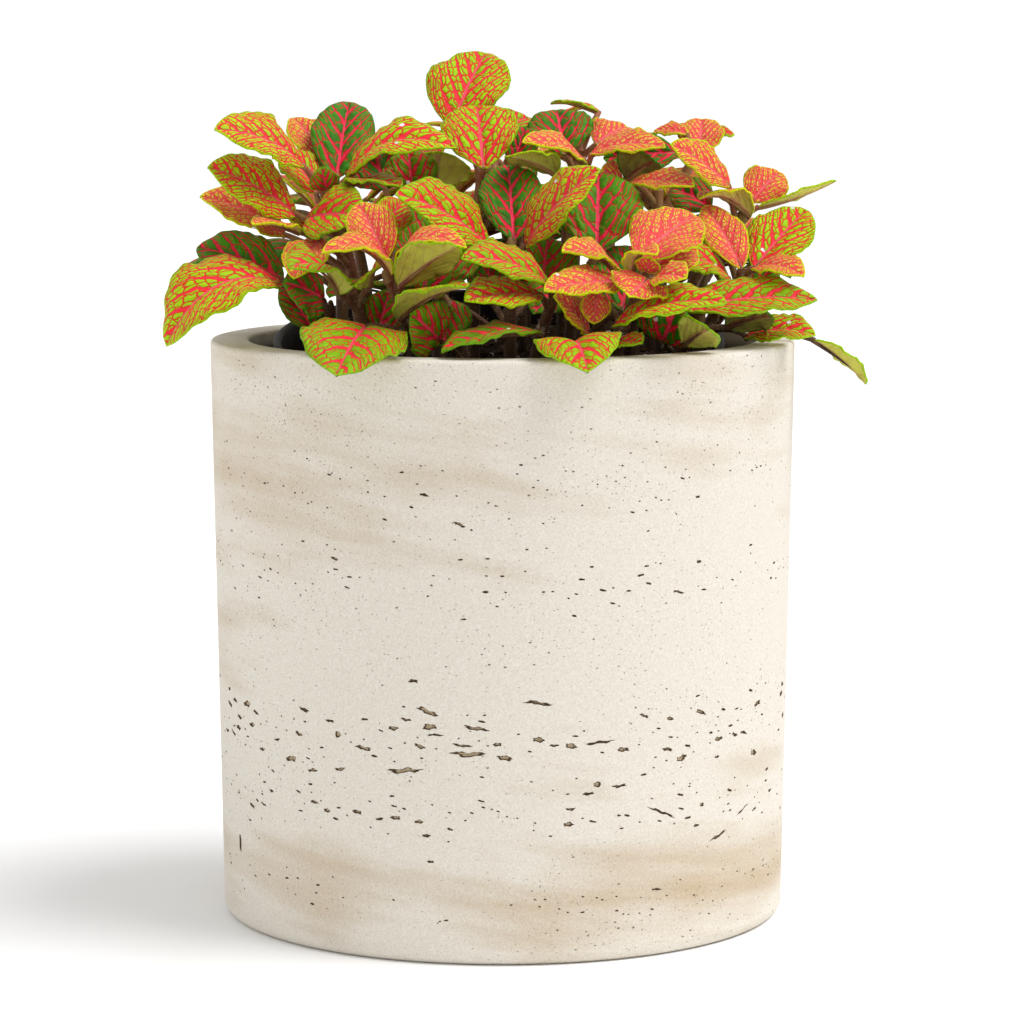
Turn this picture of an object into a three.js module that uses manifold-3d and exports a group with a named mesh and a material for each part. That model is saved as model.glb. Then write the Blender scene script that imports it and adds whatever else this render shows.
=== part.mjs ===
// A nerve plant in its growing pot, standing inside a cast stone-look planter.
// Millimetres, +Z up. The origin is the centre of the planter's flat underside; the viewer is at -Y.

import * as THREE from 'three';
import { mergeVertices } from 'three/addons/utils/BufferGeometryUtils.js';
import Module from 'manifold-3d';

const wasm = await Module();
wasm.setup();

// Planter
const PLANTER_HEIGHT = 153.2;
const PLANTER_TOP_RADIUS = 77.5;
const PLANTER_FOOT_RADIUS = 74.8;
const PLANTER_WALL = 10.3;
const PLANTER_FLOOR = 12;
const PLANTER_EDGE = 1.1;

// Growing pot, 120 mm across its rim, leaning toward the viewer
const POT_RIM_RADIUS = 60;
const POT_FOOT_RADIUS = 41;
const POT_HEIGHT = 106;
const POT_WALL = 1.1;
const POT_LIP = 2.1;
const POT_LIP_HEIGHT = 5;
const POT_LEAN = THREE.MathUtils.degToRad(9);
const POT_RIM_CENTRE = new THREE.Vector3(-1, 0, 153);
const POT_DRAIN_HOLES = 6;

// Soil and drainage bed
const SOIL_BELOW_RIM = 9;
const SOIL_BUMP = 1.6;
const BED_HEIGHT = 32;
const PEBBLE_RADIUS = 5.5;
const GAP = 0.3;

// Stems, leaf stalks and blades
const STEM_FOOT_RADIUS = 1.9;
const STEM_CROWN_RADIUS = 1.3;
const STEM_DEPTH = 7;
const STALK_RADIUS = 0.95;
const BUD_LENGTH = 5;
const BUD_RADIUS = 1.7;
const BLADE_THICKNESS = 0.7;
const BLADE_CLEARANCE = 1.3;

// Ages of leaf, youngest first; the looks are chosen from them
const YOUNG = 0;
const MID = 1;
const MATURE = 2;

// The shoots that the front view shows. A leaf's row holds where its blade starts and ends, its
// width, the way its upper side faces, how far its midrib arches, the angle that its halves are
// raised, or lowered if negative, and its age.
const FRONT_SHOOTS = [
  {
    // upper left
    foot: [-36, -14], crown: [-46, -13, 192],
    leaves: [
      [[-52, -14, 199], [-74, -28, 209], 18, [0.1, -0.65, 0.8], 3, 8, MID],
      [[-54, -14, 185.5], [-76, -24, 199], 19, [0.2, -0.7, 0.75], 2, 8, MID],
      [[-57, -8, 180], [-79, -14, 191], 15, [0.2, -0.6, 0.8], 2, 8, YOUNG],
      [[-51, -18, 183.5], [-63.5, -32, 186], 11, [0, -0.25, 1], 1, 8, YOUNG],
      [[-43.5, -8, 195], [-41, 14, 215], 17, [0, -0.7, 0.7], 2, 8, MATURE],
      [[-41, -12, 195], [-12, -22, 204], 18, [0, -0.5, 0.9], 7, 8, MID],
      [[-46, 0, 196], [-56, 12, 211], 14, [0.3, -0.6, 0.7], 2, 8, YOUNG],
      [[-49, -10, 191], [-59, -4, 203], 14, [0.5, -0.6, 0.5], 1, 8, MID],
      [[-46, -15, 193], [-47, -19, 199], 8, [0, -1, 0.3], 1, 8, MATURE],
      [[-41, -16, 194], [-26, -28, 194], 14, [0, -0.1, 1], 1, 8, MID],
      [[-52, -20, 184.5], [-35.5, -34, 187], 18, [0.1, -0.8, 0.5], 1, 8, MID],
      [[-47, -26, 182], [-52, -40, 174], 13, [-0.2, -0.8, 0.6], 1, 8, YOUNG],
    ],
  },
  {
    // pink rosette left of the middle, with the leaf that hangs over the rim
    foot: [-20, -40], crown: [-28, -49, 170],
    leaves: [
      [[-29, -47, 176], [-37, -38, 190], 13, [0.1, -0.9, 0.4], 2, 8, YOUNG],
      [[-30.5, -42, 183], [-26, -32, 191], 10, [0.2, -0.9, 0.3], 1, 8, MID],
      [[-29, -50, 172], [-45, -62, 179], 12, [0.2, -0.3, 1], 5, 8, YOUNG],
      [[-27, -50, 173], [-9, -60, 180], 12, [-0.2, -0.35, 1], 6, 8, YOUNG],
      [[-26, -54, 170], [-11, -66, 181], 16, [-0.4, 0.9, 0.6], 1, 8, MID],
      [[-26, -52, 163], [-9, -70, 170], 18, [-0.3, 0.2, 1], 2, 8, MID],
      [[-25, -53, 164], [-22, -55, 168], 4, [0, -1, 0.2], 0, 8, YOUNG],
      [[-34, -52, 160], [-40.3, -90, 150.8], 27, [0, -0.75, 0.65], 2, 6, MID],
    ],
  },
  {
    // behind it, left
    foot: [-33, -29], crown: [-38, -36, 166],
    leaves: [
      [[-38, -42, 167], [-51, -56, 175], 20, [0.2, -0.3, 1], 4, 8, MID],
      [[-38, -44, 167], [-35, -50, 176], 12, [-1, 0.5, 0.3], 1, 8, MID],
      [[-32, -30, 157], [-29, -34, 168], 12, [0, -1, 0.2], 1, 8, MATURE],
    ],
  },
  {
    // the two large leaves that reach out to the left
    foot: [-46, -18], crown: [-45, -22, 160],
    leaves: [
      [[-56.5, -28, 169], [-86, -40, 154], 26, [-0.5, -0.6, 0.65], 9, 8, MID],
      [[-57, -20, 170], [-80, -12, 178], 17, [0.2, -0.8, 0.6], 2, 8, MATURE],
      [[-49, -26, 157], [-57.5, -23, 168.5], 9, [0.2, -0.9, 0.3], 1, 8, MATURE],
      [[-46, -30, 165], [-56, -38, 170], 18, [0.1, -0.8, 0.6], 1, 8, MATURE],
    ],
  },
  {
    // the tallest shoot, in the middle
    foot: [-8, 2], crown: [-6, 2, 193],
    leaves: [
      [[-13.5, 14, 208], [-4.5, 34, 228], 23, [-0.1, -0.75, 0.65], 2, 8, MID],
      [[-5, -6, 198], [-7, 14, 214], 21, [0, -0.75, 0.65], 2, 8, MID],
      [[-1, 20, 206], [7, 30, 211], 14, [0, -0.6, 0.8], 1, 8, MID],
      [[3, 13, 198], [6, 18, 208], 9, [0, -0.9, 0.3], 1, 8, MATURE],
    ],
  },
  {
    // darker leaves seen between the two before
    foot: [-24, 5], crown: [-25, 4, 186],
    leaves: [
      [[-31, 6, 192], [-34, 12, 202], 19, [0, -1, 0.3], 1, 8, MATURE],
      [[-24, 6, 191], [-25, 10, 202], 15, [0, -1, 0.3], 1, 8, MATURE],
      [[-18, 8, 192], [-17, 4, 202], 19, [0, 1, 0.4], 1, 8, MID],
    ],
  },
  {
    // top, right of the middle
    foot: [18, 4], crown: [21, 2, 196],
    leaves: [
      [[22, 0, 198], [5, -14, 204], 11, [0.1, -0.5, 0.85], 3, 8, YOUNG],
      [[14, -2, 196], [2, -16, 202], 14, [0, 0.3, 1], 1, 8, MID],
      [[23.5, 0, 200], [43, -8, 202.5], 13, [0, -0.45, 0.9], 2, 8, YOUNG],
    ],
  },
  {
    // top, behind it
    foot: [16, 20], crown: [20, 22, 200],
    leaves: [
      [[16.5, 14, 201], [14.5, 28, 212.5], 18, [0, -0.7, 0.7], 1, 8, MATURE],
      [[25, 20, 203.5], [34, 30, 208], 13, [0, -0.6, 0.8], 1, 8, YOUNG],
      [[26.5, 30, 212], [13, 34, 214.5], 7, [0, 0.04, 1], 1, 8, MID],
    ],
  },
  {
    // middle: two long leaves in a V, with dark ones behind
    foot: [2, -22], crown: [2, -24, 176],
    leaves: [
      [[-2.5, -28, 177], [-27, -44, 193], 21, [0.1, -0.65, 0.75], 3, 8, MID],
      [[3, -22, 179], [1, -2, 200], 17, [0, -0.85, 0.5], 2, 8, MATURE],
      [[6, -26, 178.5], [25, -34, 199], 18, [-0.3, -0.6, 0.75], 2, 8, MID],
      [[-21, -26, 165], [-16, -14, 188], 27, [0.2, -0.9, 0.4], 1, 8, MATURE],
      [[10, -14, 166], [12, -8, 180], 18, [0, -0.9, 0.4], 1, 8, MATURE],
      [[-3, -10, 163], [-4, -6, 175], 12, [0, -0.9, 0.4], 1, 8, MATURE],
    ],
  },
  {
    // the large dark leaf facing the viewer
    foot: [20, -18], crown: [23, -19, 172],
    leaves: [
      [[24.5, -22, 177.5], [25, -7, 196.5], 24, [0, -0.8, 0.6], 1, 8, MATURE],
      [[20, -26, 167], [8, -36, 162], 18, [0, -0.4, 0.9], 2, 8, MATURE],
      [[31, -28, 162], [34, -12, 178], 20, [0, -0.9, 0.4], 1, 8, MATURE],
    ],
  },
  {
    // pink rosette right of the middle, with the second leaf over the rim
    foot: [27, -38], crown: [36, -52, 171],
    leaves: [
      [[34.5, -48, 176.5], [49.5, -34, 187], 20, [-0.3, -0.8, 0.5], 1, 8, YOUNG],
      [[29, -46, 173], [15, -56, 179], 13, [0.1, -0.4, 0.9], 3, 8, YOUNG],
      [[31.5, -52, 171], [10.5, -68, 170], 13, [0, -0.55, 0.8], 1, 8, YOUNG],
      [[37, -56, 173], [32, -66, 168], 16, [0, -0.8, 0.6], 0, 8, YOUNG],
      [[38, -56, 173], [46, -64, 173], 12, [0, -0.5, 0.8], 1, 8, YOUNG],
      [[36, -56, 172], [37, -58, 177], 7, [0, -1, 0.2], 0, 8, YOUNG],
      [[33, -52, 173], [39, -60, 178], 10, [0, -0.3, 1], 3, 8, YOUNG],
      [[38, -46, 174], [48, -36, 181], 15, [0, -0.9, 0.5], 1, 8, YOUNG],
      [[27.5, -56, 161], [55.5, -70, 168], 16, [-0.1, -0.4, 0.9], 3, 8, MID],
      [[22, -50, 158], [13, -58, 168], 12, [0.3, -0.6, 0.7], 1, 8, YOUNG],
      [[24, -54, 169], [23, -58, 161], 8, [0, -1, 0.2], 0, 8, YOUNG],
      [[17.5, -57, 155], [21, -88, 151.5], 22, [0, -0.75, 0.65], 4, 6, MID],
      [[29, -60, 157], [35, -66, 157], 8, [0, -0.5, 0.8], 0, 8, MID],
    ],
  },
  {
    // low right
    foot: [44, -22], crown: [50, -36, 160],
    leaves: [
      [[46, -38, 163], [81, -34, 165.5], 17, [0, -0.5, 0.85], 2, 8, MID],
      [[38, -42, 148], [41, -46, 156.5], 20, [0, -0.9, 0.3], 1, 8, MATURE],
      [[46, -50, 153], [52, -60, 159], 12, [0, 1, 0.3], 1, 8, MID],
      [[58, -26, 153], [70, -32, 158], 12, [0, 0.8, 0.6], 1, 8, MATURE],
    ],
  },
  {
    // the leaves that lie over the right of the rim and hang outside it
    foot: [50, -5], crown: [58, -13, 161],
    leaves: [
      [[62.5, -24, 155.5], [80.5, -30, 155], 14, [0, -0.45, 0.9], 2, 8, MID],
      [[81.5, -14, 153.7], [96, -10, 141.7], 11, [0.6, 0.3, 0.75], 1, 8, MID],
      [[63, -8, 163], [72, -4, 173], 11, [0, -0.9, 0.4], 1, 8, MATURE],
    ],
  },
  {
    // right, facing the viewer
    foot: [50, -10], crown: [62, -20, 170],
    leaves: [
      [[62, -24, 172.5], [53, -10, 188.5], 12, [0.2, -0.85, 0.5], 1, 8, YOUNG],
      [[65.5, -20, 172.5], [80.2, -4, 187.2], 17, [-0.2, -0.85, 0.5], 1, 8, MID],
      [[65, -24, 172.5], [77.5, -34, 171.5], 12, [0, -0.4, 0.9], 2, 8, YOUNG],
      [[59, -22, 170], [43, -28, 175], 16, [0, -0.5, 0.85], 3, 8, MID],
      [[56, -4, 175], [52, 0, 186], 20, [0, -1, 0.3], 1, 8, MATURE],
      [[55, -2, 188], [45.5, 4, 192.5], 12, [0, -0.8, 0.6], 1, 8, MATURE],
    ],
  },
  {
    // upper right
    foot: [44, 4], crown: [62, -2, 184],
    leaves: [
      [[58.5, -8, 191.5], [43.5, -16, 204.5], 13, [0.3, -0.7, 0.7], 1, 8, YOUNG],
      [[66, 3, 188.5], [74, 10, 196.5], 13, [0, -0.8, 0.6], 1, 8, YOUNG],
      [[66, -4, 186], [53, -14, 193], 14, [0, 0.15, 1], 3, 8, YOUNG],
      [[67, -2, 188], [88, 0, 195], 7, [0, 0.35, 1], -1, 8, MID],
    ],
  },
  {
    // top right, further back
    foot: [34, 20], crown: [52, 20, 200],
    leaves: [
      [[53, 20, 201.5], [54, 32, 211], 13, [0, -0.7, 0.7], 1, 8, YOUNG],
      [[57, 30, 207], [63, 32, 206], 6, [0, -0.5, 1], 0, 8, MID],
      [[50, 22, 205.5], [40.5, 26, 206], 8, [0, -0.4, 0.9], 1, 8, YOUNG],
      [[47, 17, 201.5], [27, 15, 200], 12, [0, -0.9, 0.4], 1, 8, MATURE],
    ],
  },
  {
    // top, between the last two
    foot: [42, -8], crown: [41, -4, 190],
    leaves: [
      [[33.5, -6, 194.5], [50, -18, 194], 11, [0, -0.5, 0.9], 1, 8, YOUNG],
      [[32, 0, 194], [40, -4, 201], 16, [0, 0.7, 0.7], 1, 8, MATURE],
      [[32, -2, 195], [26, -6, 199], 10, [0, -0.6, 0.7], 1, 8, YOUNG],
    ],
  },
  {
    // front middle, low
    foot: [7, -38], crown: [13, -45, 166],
    leaves: [
      [[13, -48, 169], [-10, -62, 178], 17, [0.1, -0.5, 0.85], 3, 8, MID],
      [[10, -50, 168], [-9, -66, 168.5], 15, [-0.1, -0.6, 0.8], 1, 8, MID],
      [[10, -62, 159], [-15, -72, 155], 16, [0, -0.1, 1], 2, 8, MATURE],
    ],
  },
  {
    // dark leaves low behind the front rim
    foot: [-8, -44], crown: [-13, -46, 163],
    leaves: [
      [[-16, -52, 156], [-23, -60, 164], 16, [0, -0.9, 0.4], 1, 8, MATURE],
      [[-13, -46, 166], [-14, -54, 155], 14, [-0.3, -0.9, 0.2], 1, 8, MATURE],
    ],
  },
];

// The shoots behind and between them, grown by a rule: foot, crown, pairs of leaves
const BACK_SHOOTS = [
  [[-43, 8], [-43, 12, 181], 3],
  [[-36, 30], [-42, 36, 183], 2],
  [[-17, 42], [-19, 52, 184], 3],
  [[6, 46], [6, 56, 184], 2],
  [[28, 41], [31, 50, 187], 3],
  [[40, 25], [44, 29, 182], 2],
  [[-15, 21], [-24, 26, 192], 2],
  [[5, 26], [2, 36, 197], 2],
  [[51, 11], [54, 12, 168], 1],
  [[-17, -12], [-15, -6, 176], 2],
];
const SEED = 7;

// Repeatable random numbers between 0 and 1
function randomFrom(seed) {
  let state = seed;
  return () => {
    state = (state * 16807) % 2147483647;
    return state / 2147483647;
  };
}

// The middle of the soil's surface, which leans with its pot
function soilHeight(x, y) {
  const ripple = SOIL_BUMP * Math.sin(x * 0.21 + 1) * Math.cos(y * 0.17);
  return POT_RIM_CENTRE.z - SOIL_BELOW_RIM + y * Math.tan(POT_LEAN) + ripple;
}

// Shoots as the table gives them, or grown by the rule: opposite pairs, each turned a quarter
// from the pair below, with shorter, younger and steeper leaves toward the crown
function leafFromRow([base, tip, width, face, arch, fold, age], shoot, give) {
  return {
    shoot,
    base: new THREE.Vector3(...base),
    tip: new THREE.Vector3(...tip),
    face: new THREE.Vector3(...face),
    width,
    arch,
    fold: THREE.MathUtils.degToRad(fold),
    age,
    give,
    phase: base[0] + tip[2],
  };
}

function grownRows(crown, pairs, random) {
  const rows = [];
  const start = random() * Math.PI;
  for (let pair = 0; pair < pairs; pair += 1) {
    const rise = pairs === 1 ? 1 : pair / (pairs - 1);
    for (const turn of [0, Math.PI]) {
      const heading = start + (pair * Math.PI) / 2 + turn + (random() - 0.5) * 0.5;
      const length = (31 - 10 * rise) * (0.9 + 0.2 * random());
      const stalk = 11 - 6 * rise;
      const pitch = THREE.MathUtils.degToRad(4 + 30 * rise + 16 * (random() - 0.5));
      const out = [Math.cos(heading), Math.sin(heading)];
      const base = [
        crown[0] + out[0] * stalk,
        crown[1] + out[1] * stalk,
        crown[2] - 16 * (1 - rise) + stalk * 0.5,
      ];
      const tip = [
        base[0] + out[0] * length * Math.cos(pitch),
        base[1] + out[1] * length * Math.cos(pitch),
        base[2] + length * Math.sin(pitch),
      ];
      const age = Math.round((1 - rise) * 2);
      const face = [-0.3 * out[0], -0.3 * out[1], 1];
      rows.push([base, tip, length * 0.6, face, length * 0.12, 8, age]);
    }
  }
  return rows;
}

function plantShoots() {
  const random = randomFrom(SEED);
  const shoots = [];
  for (const { foot, crown, leaves } of FRONT_SHOOTS) {
    const shoot = shoots.length;
    shoots.push({ foot, crown, leaves: leaves.map((row) => leafFromRow(row, shoot, 0.3)) });
  }
  for (const [foot, crown, pairs] of BACK_SHOOTS) {
    const shoot = shoots.length;
    const rows = grownRows(crown, pairs, random);
    shoots.push({ foot, crown, leaves: rows.map((row) => leafFromRow(row, shoot, 1)) });
  }
  for (const shoot of shoots) {
    shoot.stem = stemCurve(shoot);
  }
  return shoots;
}

// A blade's surface: t runs along the midrib from 0 to 1, s across it from -1 to 1
function bladeFrame(leaf) {
  const along = leaf.tip.clone().sub(leaf.base);
  const length = along.length();
  along.divideScalar(length);
  const up = leaf.face.clone().addScaledVector(along, -leaf.face.dot(along)).normalize();
  const side = along.clone().cross(up);
  return { along, up, side, length };
}

function halfWidth(leaf, t) {
  return (leaf.width / 2) * Math.sin(Math.PI * t) ** 0.72;
}

function edgeWave(leaf, t, s) {
  const phase = leaf.phase + (s > 0 ? 1.7 : 0);
  return 0.08 * halfWidth(leaf, t) * s * s * Math.sin(2.2 * 2 * Math.PI * t + phase);
}

function bladePoint(leaf, frame, t, s, lift, spread) {
  const slope = (leaf.arch * 4 * (1 - 2 * t)) / frame.length;
  const normal = frame.up.clone().addScaledVector(frame.along, -slope).normalize();
  const reach = t > 0 && t < 1 ? halfWidth(leaf, t) + spread : 0;
  const raised = reach * Math.abs(s) * Math.sin(leaf.fold) + edgeWave(leaf, t, s);
  return leaf.base.clone()
    .addScaledVector(frame.along, t * frame.length)
    .addScaledVector(frame.up, leaf.arch * 4 * t * (1 - t))
    .addScaledVector(frame.side, reach * s * Math.cos(leaf.fold))
    .addScaledVector(normal, raised + lift);
}

// Leaves that would cross are bent clear of each other, and of the two rims, by small steps
const SAMPLES = [];
for (const t of [0.08, 0.22, 0.36, 0.5, 0.64, 0.78, 0.9, 1]) {
  for (const s of [-0.95, -0.5, 0, 0.5, 0.95]) {
    SAMPLES.push([t, s]);
  }
}

function shoveAt(leaf, t, push) {
  const share = (1 - t) ** 2 + t ** 2;
  leaf.baseShift.addScaledVector(push, (1 - t) / share);
  leaf.tipShift.addScaledVector(push, t / share);
}

function heightOver(point, leaf, frame) {
  const from = point.clone().sub(leaf.base);
  const t = from.dot(frame.along) / frame.length;
  if (t < 0.02 || t > 0.98) {
    return null;
  }
  const across = from.dot(frame.side);
  const reach = halfWidth(leaf, t);
  if (Math.abs(across) > reach + 0.8) {
    return null;
  }
  const surface = leaf.arch * 4 * t * (1 - t) + Math.abs(across) * Math.sin(leaf.fold);
  return { t, height: from.dot(frame.up) - surface };
}

function pushPairApart(one, other) {
  const heights = [];
  for (const sample of one.samples) {
    const over = heightOver(sample.point, other, other.frame);
    if (over) {
      heights.push({ ...over, from: sample.t });
    }
  }
  if (heights.length === 0) {
    return;
  }
  const side = heights.reduce((sum, over) => sum + over.height, 0) >= 0 ? 1 : -1;
  let worst = null;
  for (const over of heights) {
    const missing = BLADE_CLEARANCE - side * over.height;
    if (missing > 0 && (!worst || missing > worst.missing)) {
      worst = { ...over, missing };
    }
  }
  if (!worst) {
    return;
  }
  const total = one.give + other.give;
  const step = Math.min(worst.missing, 3) * 0.5 * side;
  const push = other.frame.up.clone().multiplyScalar(step);
  shoveAt(one, worst.from, push.clone().multiplyScalar(one.give / total));
  shoveAt(other, worst.t, push.clone().multiplyScalar(-other.give / total));
}

// A blade that another shoot's stem would pass through swings sideways past it
function swingPastStems(leaf, stemPoints) {
  for (const { point, shoot } of stemPoints) {
    if (shoot === leaf.shoot || point.distanceTo(leaf.middle) > leaf.frame.length) {
      continue;
    }
    const over = heightOver(point, leaf, leaf.frame);
    if (over && Math.abs(over.height) < 2) {
      const across = point.clone().sub(leaf.base).dot(leaf.frame.side);
      const missing = halfWidth(leaf, over.t) + STEM_FOOT_RADIUS + 1 - Math.abs(across);
      const step = Math.min(missing, 2) * 0.25 * leaf.give * (across > 0 ? -1 : 1);
      shoveAt(leaf, over.t, leaf.frame.side.clone().multiplyScalar(step));
    }
  }
}

function lowestAllowed(x, y) {
  const planterRadius = Math.hypot(x, y);
  const potRadius = Math.hypot(x - POT_RIM_CENTRE.x, y / Math.cos(POT_LEAN));
  if (planterRadius > PLANTER_TOP_RADIUS + 1.5) {
    return -Infinity;
  }
  if (planterRadius > PLANTER_TOP_RADIUS - PLANTER_WALL - 1.5) {
    return PLANTER_HEIGHT + 1.3;
  }
  const potRim = POT_RIM_CENTRE.z + y * Math.tan(POT_LEAN);
  return potRadius > POT_RIM_RADIUS - 3 ? potRim + 1.3 : potRim - 3;
}

function bendClear(shoots, steps) {
  const leaves = shoots.flatMap((shoot) => shoot.leaves);
  const stemPoints = shoots.flatMap(({ stem }, shoot) => (
    stem.getPoints(20).map((point) => ({ point, shoot }))));
  for (let step = 0; step < steps; step += 1) {
    for (const leaf of leaves) {
      leaf.frame = bladeFrame(leaf);
      leaf.middle = leaf.base.clone().lerp(leaf.tip, 0.5);
      leaf.samples = SAMPLES.map(([t, s]) => ({ t, point: bladePoint(leaf, leaf.frame, t, s, 0, 0) }));
      leaf.baseShift = new THREE.Vector3();
      leaf.tipShift = new THREE.Vector3();
    }
    for (const one of leaves) {
      for (const other of leaves) {
        const reach = (one.frame.length + other.frame.length) * 0.6 + 3;
        if (one !== other && one.middle.distanceTo(other.middle) < reach) {
          pushPairApart(one, other);
        }
      }
      swingPastStems(one, stemPoints);
      for (const { t, point } of one.samples) {
        const missing = lowestAllowed(point.x, point.y) - point.z;
        if (missing > 0 && missing < 12) {
          shoveAt(one, t, new THREE.Vector3(0, 0, missing * 0.3));
        }
      }
    }
    for (const leaf of leaves) {
      leaf.base.add(leaf.baseShift.clampLength(0, 0.8));
      leaf.tip.add(leaf.tipShift.clampLength(0, 1.5));
    }
  }
}

// Closed solids. Triangles that a merge of points has flattened are left out
function solidFrom(geometry) {
  geometry.deleteAttribute('normal');
  geometry.deleteAttribute('uv');
  const merged = mergeVertices(geometry, 1e-4);
  const vertProperties = new Float32Array(merged.attributes.position.array);
  const corners = merged.index.array;
  const triVerts = new Uint32Array(corners.filter((_, i) => {
    const [a, b, c] = corners.slice(i - (i % 3), i - (i % 3) + 3);
    return a !== b && b !== c && c !== a;
  }));
  return new wasm.Manifold(new wasm.Mesh({ numProp: 3, vertProperties, triVerts }));
}

function joined(solids) {
  return solids.reduce((sum, solid) => sum.add(solid));
}

// Only the largest closed skin stays: scraps and sealed hollows are left out
function geometryFrom(solid) {
  const mesh = solid.getMesh();
  const owner = Array.from({ length: mesh.vertProperties.length / mesh.numProp }, (_, i) => i);
  const find = (i) => {
    let root = i;
    while (owner[root] !== root) {
      owner[root] = owner[owner[root]];
      root = owner[root];
    }
    return root;
  };
  const triangles = mesh.triVerts;
  for (let i = 0; i < triangles.length; i += 3) {
    owner[find(triangles[i])] = find(triangles[i + 1]);
    owner[find(triangles[i + 1])] = find(triangles[i + 2]);
  }
  const corner = (i) => new THREE.Vector3().fromArray(mesh.vertProperties, triangles[i] * mesh.numProp);
  const volumes = new Map();
  for (let i = 0; i < triangles.length; i += 3) {
    const part = find(triangles[i]);
    const volume = corner(i).dot(corner(i + 1).cross(corner(i + 2))) / 6;
    volumes.set(part, (volumes.get(part) ?? 0) + volume);
  }
  const largest = [...volumes.entries()].sort((a, b) => b[1] - a[1])[0][0];
  const positions = [];
  for (let i = 0; i < triangles.length; i += 3) {
    if (find(triangles[i]) === largest) {
      positions.push(...corner(i).toArray(), ...corner(i + 1).toArray(), ...corner(i + 2).toArray());
    }
  }
  const geometry = new THREE.BufferGeometry();
  geometry.setAttribute('position', new THREE.Float32BufferAttribute(positions, 3));
  return mergeVertices(geometry, 1e-4);
}

// A leaf in one piece: its stalk and blade are a row of rings, each with three points on its
// upper face and the same three below, so that both faces are split into triangles alike. On the
// stalk the side points meet, and at the tip all three do.
function ringsOf(leaf, grow) {
  const frame = bladeFrame(leaf);
  const stations = frame.length > 25 ? 4 : frame.length > 12 ? 3 : 2;
  const half = BLADE_THICKNESS / 2 + grow;
  const rings = [];
  const acrossBlade = (t, spread) => [half, -half].map((lift) => (
    [-1, 0, 1].map((s) => bladePoint(leaf, frame, t, s, lift, spread))));
  for (let i = 1; i <= stations + 1; i += 1) {
    rings.push(acrossBlade(i / (stations + 1), grow));
  }
  const stalkParts = leaf.stalk.getLength() > 15 ? [0, 0.55, 1] : [0, 1];
  const stalkRings = stalkParts.map((part) => {
    const radius = STALK_RADIUS + grow - 0.2 * part;
    const centre = leaf.stalk.getPoint(part);
    const along = leaf.stalk.getTangent(part);
    const side = frame.side.clone().addScaledVector(along, -frame.side.dot(along)).normalize();
    const up = side.clone().cross(along);
    return [1, -1].map((face) => [-1, 0, 1].map((s) => centre.clone()
      .addScaledVector(side, s * radius)
      .addScaledVector(up, s === 0 ? face * radius : 0)));
  });
  return [...stalkRings, ...rings];
}

function leafSolid(leaf, grow) {
  const rings = ringsOf(leaf, grow);
  const corners = rings.flat(2).flatMap((point) => point.toArray());
  const at = (ring, face, s) => ring * 6 + face * 3 + s;
  const index = [];
  const triangle = (a, b, c) => index.push(a, b, c);
  for (let ring = 0; ring < rings.length - 1; ring += 1) {
    for (const s of [0, 1]) {
      triangle(at(ring, 0, s), at(ring, 0, s + 1), at(ring + 1, 0, s + 1));
      triangle(at(ring, 0, s), at(ring + 1, 0, s + 1), at(ring + 1, 0, s));
      triangle(at(ring, 1, s), at(ring + 1, 1, s + 1), at(ring, 1, s + 1));
      triangle(at(ring, 1, s), at(ring + 1, 1, s), at(ring + 1, 1, s + 1));
    }
    triangle(at(ring, 0, 0), at(ring + 1, 0, 0), at(ring + 1, 1, 0));
    triangle(at(ring, 0, 0), at(ring + 1, 1, 0), at(ring, 1, 0));
    triangle(at(ring, 0, 2), at(ring + 1, 1, 2), at(ring + 1, 0, 2));
    triangle(at(ring, 0, 2), at(ring, 1, 2), at(ring + 1, 1, 2));
  }
  triangle(at(0, 0, 0), at(0, 1, 1), at(0, 0, 1));
  triangle(at(0, 0, 2), at(0, 0, 1), at(0, 1, 1));
  const geometry = new THREE.BufferGeometry();
  geometry.setAttribute('position', new THREE.Float32BufferAttribute(corners, 3));
  geometry.setIndex(index);
  return solidFrom(geometry);
}

// A round along a curve, made by bending a cylinder; radiusAt gives its radius along the way
function roundSolid(curve, radiusAt, sides, segments) {
  const geometry = new THREE.CylinderGeometry(1, 1, 1, sides, segments);
  const position = geometry.attributes.position;
  const reference = Math.abs(curve.getTangent(0.5).z) > 0.8
    ? new THREE.Vector3(0, -1, 0)
    : new THREE.Vector3(0, 0, 1);
  for (let i = 0; i < position.count; i += 1) {
    const u = position.getY(i) + 0.5;
    const radius = radiusAt(u);
    const tangent = curve.getTangent(u);
    const across = reference.clone().cross(tangent).normalize();
    const over = tangent.clone().cross(across);
    const place = curve.getPoint(u)
      .addScaledVector(across, radius * position.getX(i))
      .addScaledVector(over, -radius * position.getZ(i));
    position.setXYZ(i, place.x, place.y, place.z);
  }
  return solidFrom(geometry);
}

// Stems rise straight out of the soil and lean toward their crown
function stemCurve({ foot, crown }) {
  const [x, y] = foot;
  const start = new THREE.Vector3(x, y, soilHeight(x, y) - STEM_DEPTH);
  const end = new THREE.Vector3(...crown);
  const rise = end.z - start.z;
  const above = start.clone().setZ(start.z + rise * 0.55);
  const below = end.clone().lerp(new THREE.Vector3(x, y, end.z - rise * 0.4), 0.35);
  return new THREE.CubicBezierCurve3(start, above, below, end);
}

// A leaf stalk leaves the stem below its blade and runs into the midrib
function stalkCurve(leaf, stem, height, sway) {
  const end = bladePoint(leaf, bladeFrame(leaf), 0.03, 0, 0, 0);
  const start = stem.getPoint(height);
  const outward = end.clone().sub(start).setZ(0);
  start.addScaledVector(outward.normalize(), STEM_CROWN_RADIUS * 0.6);
  const reach = end.clone().sub(start);
  const middle = start.clone().lerp(end, 0.5);
  middle.z += reach.length() * 0.12;
  const sideways = new THREE.Vector3(-reach.y, reach.x, 0).normalize();
  middle.addScaledVector(sideways, sway);
  return new THREE.QuadraticBezierCurve3(start, middle, end);
}

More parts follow.
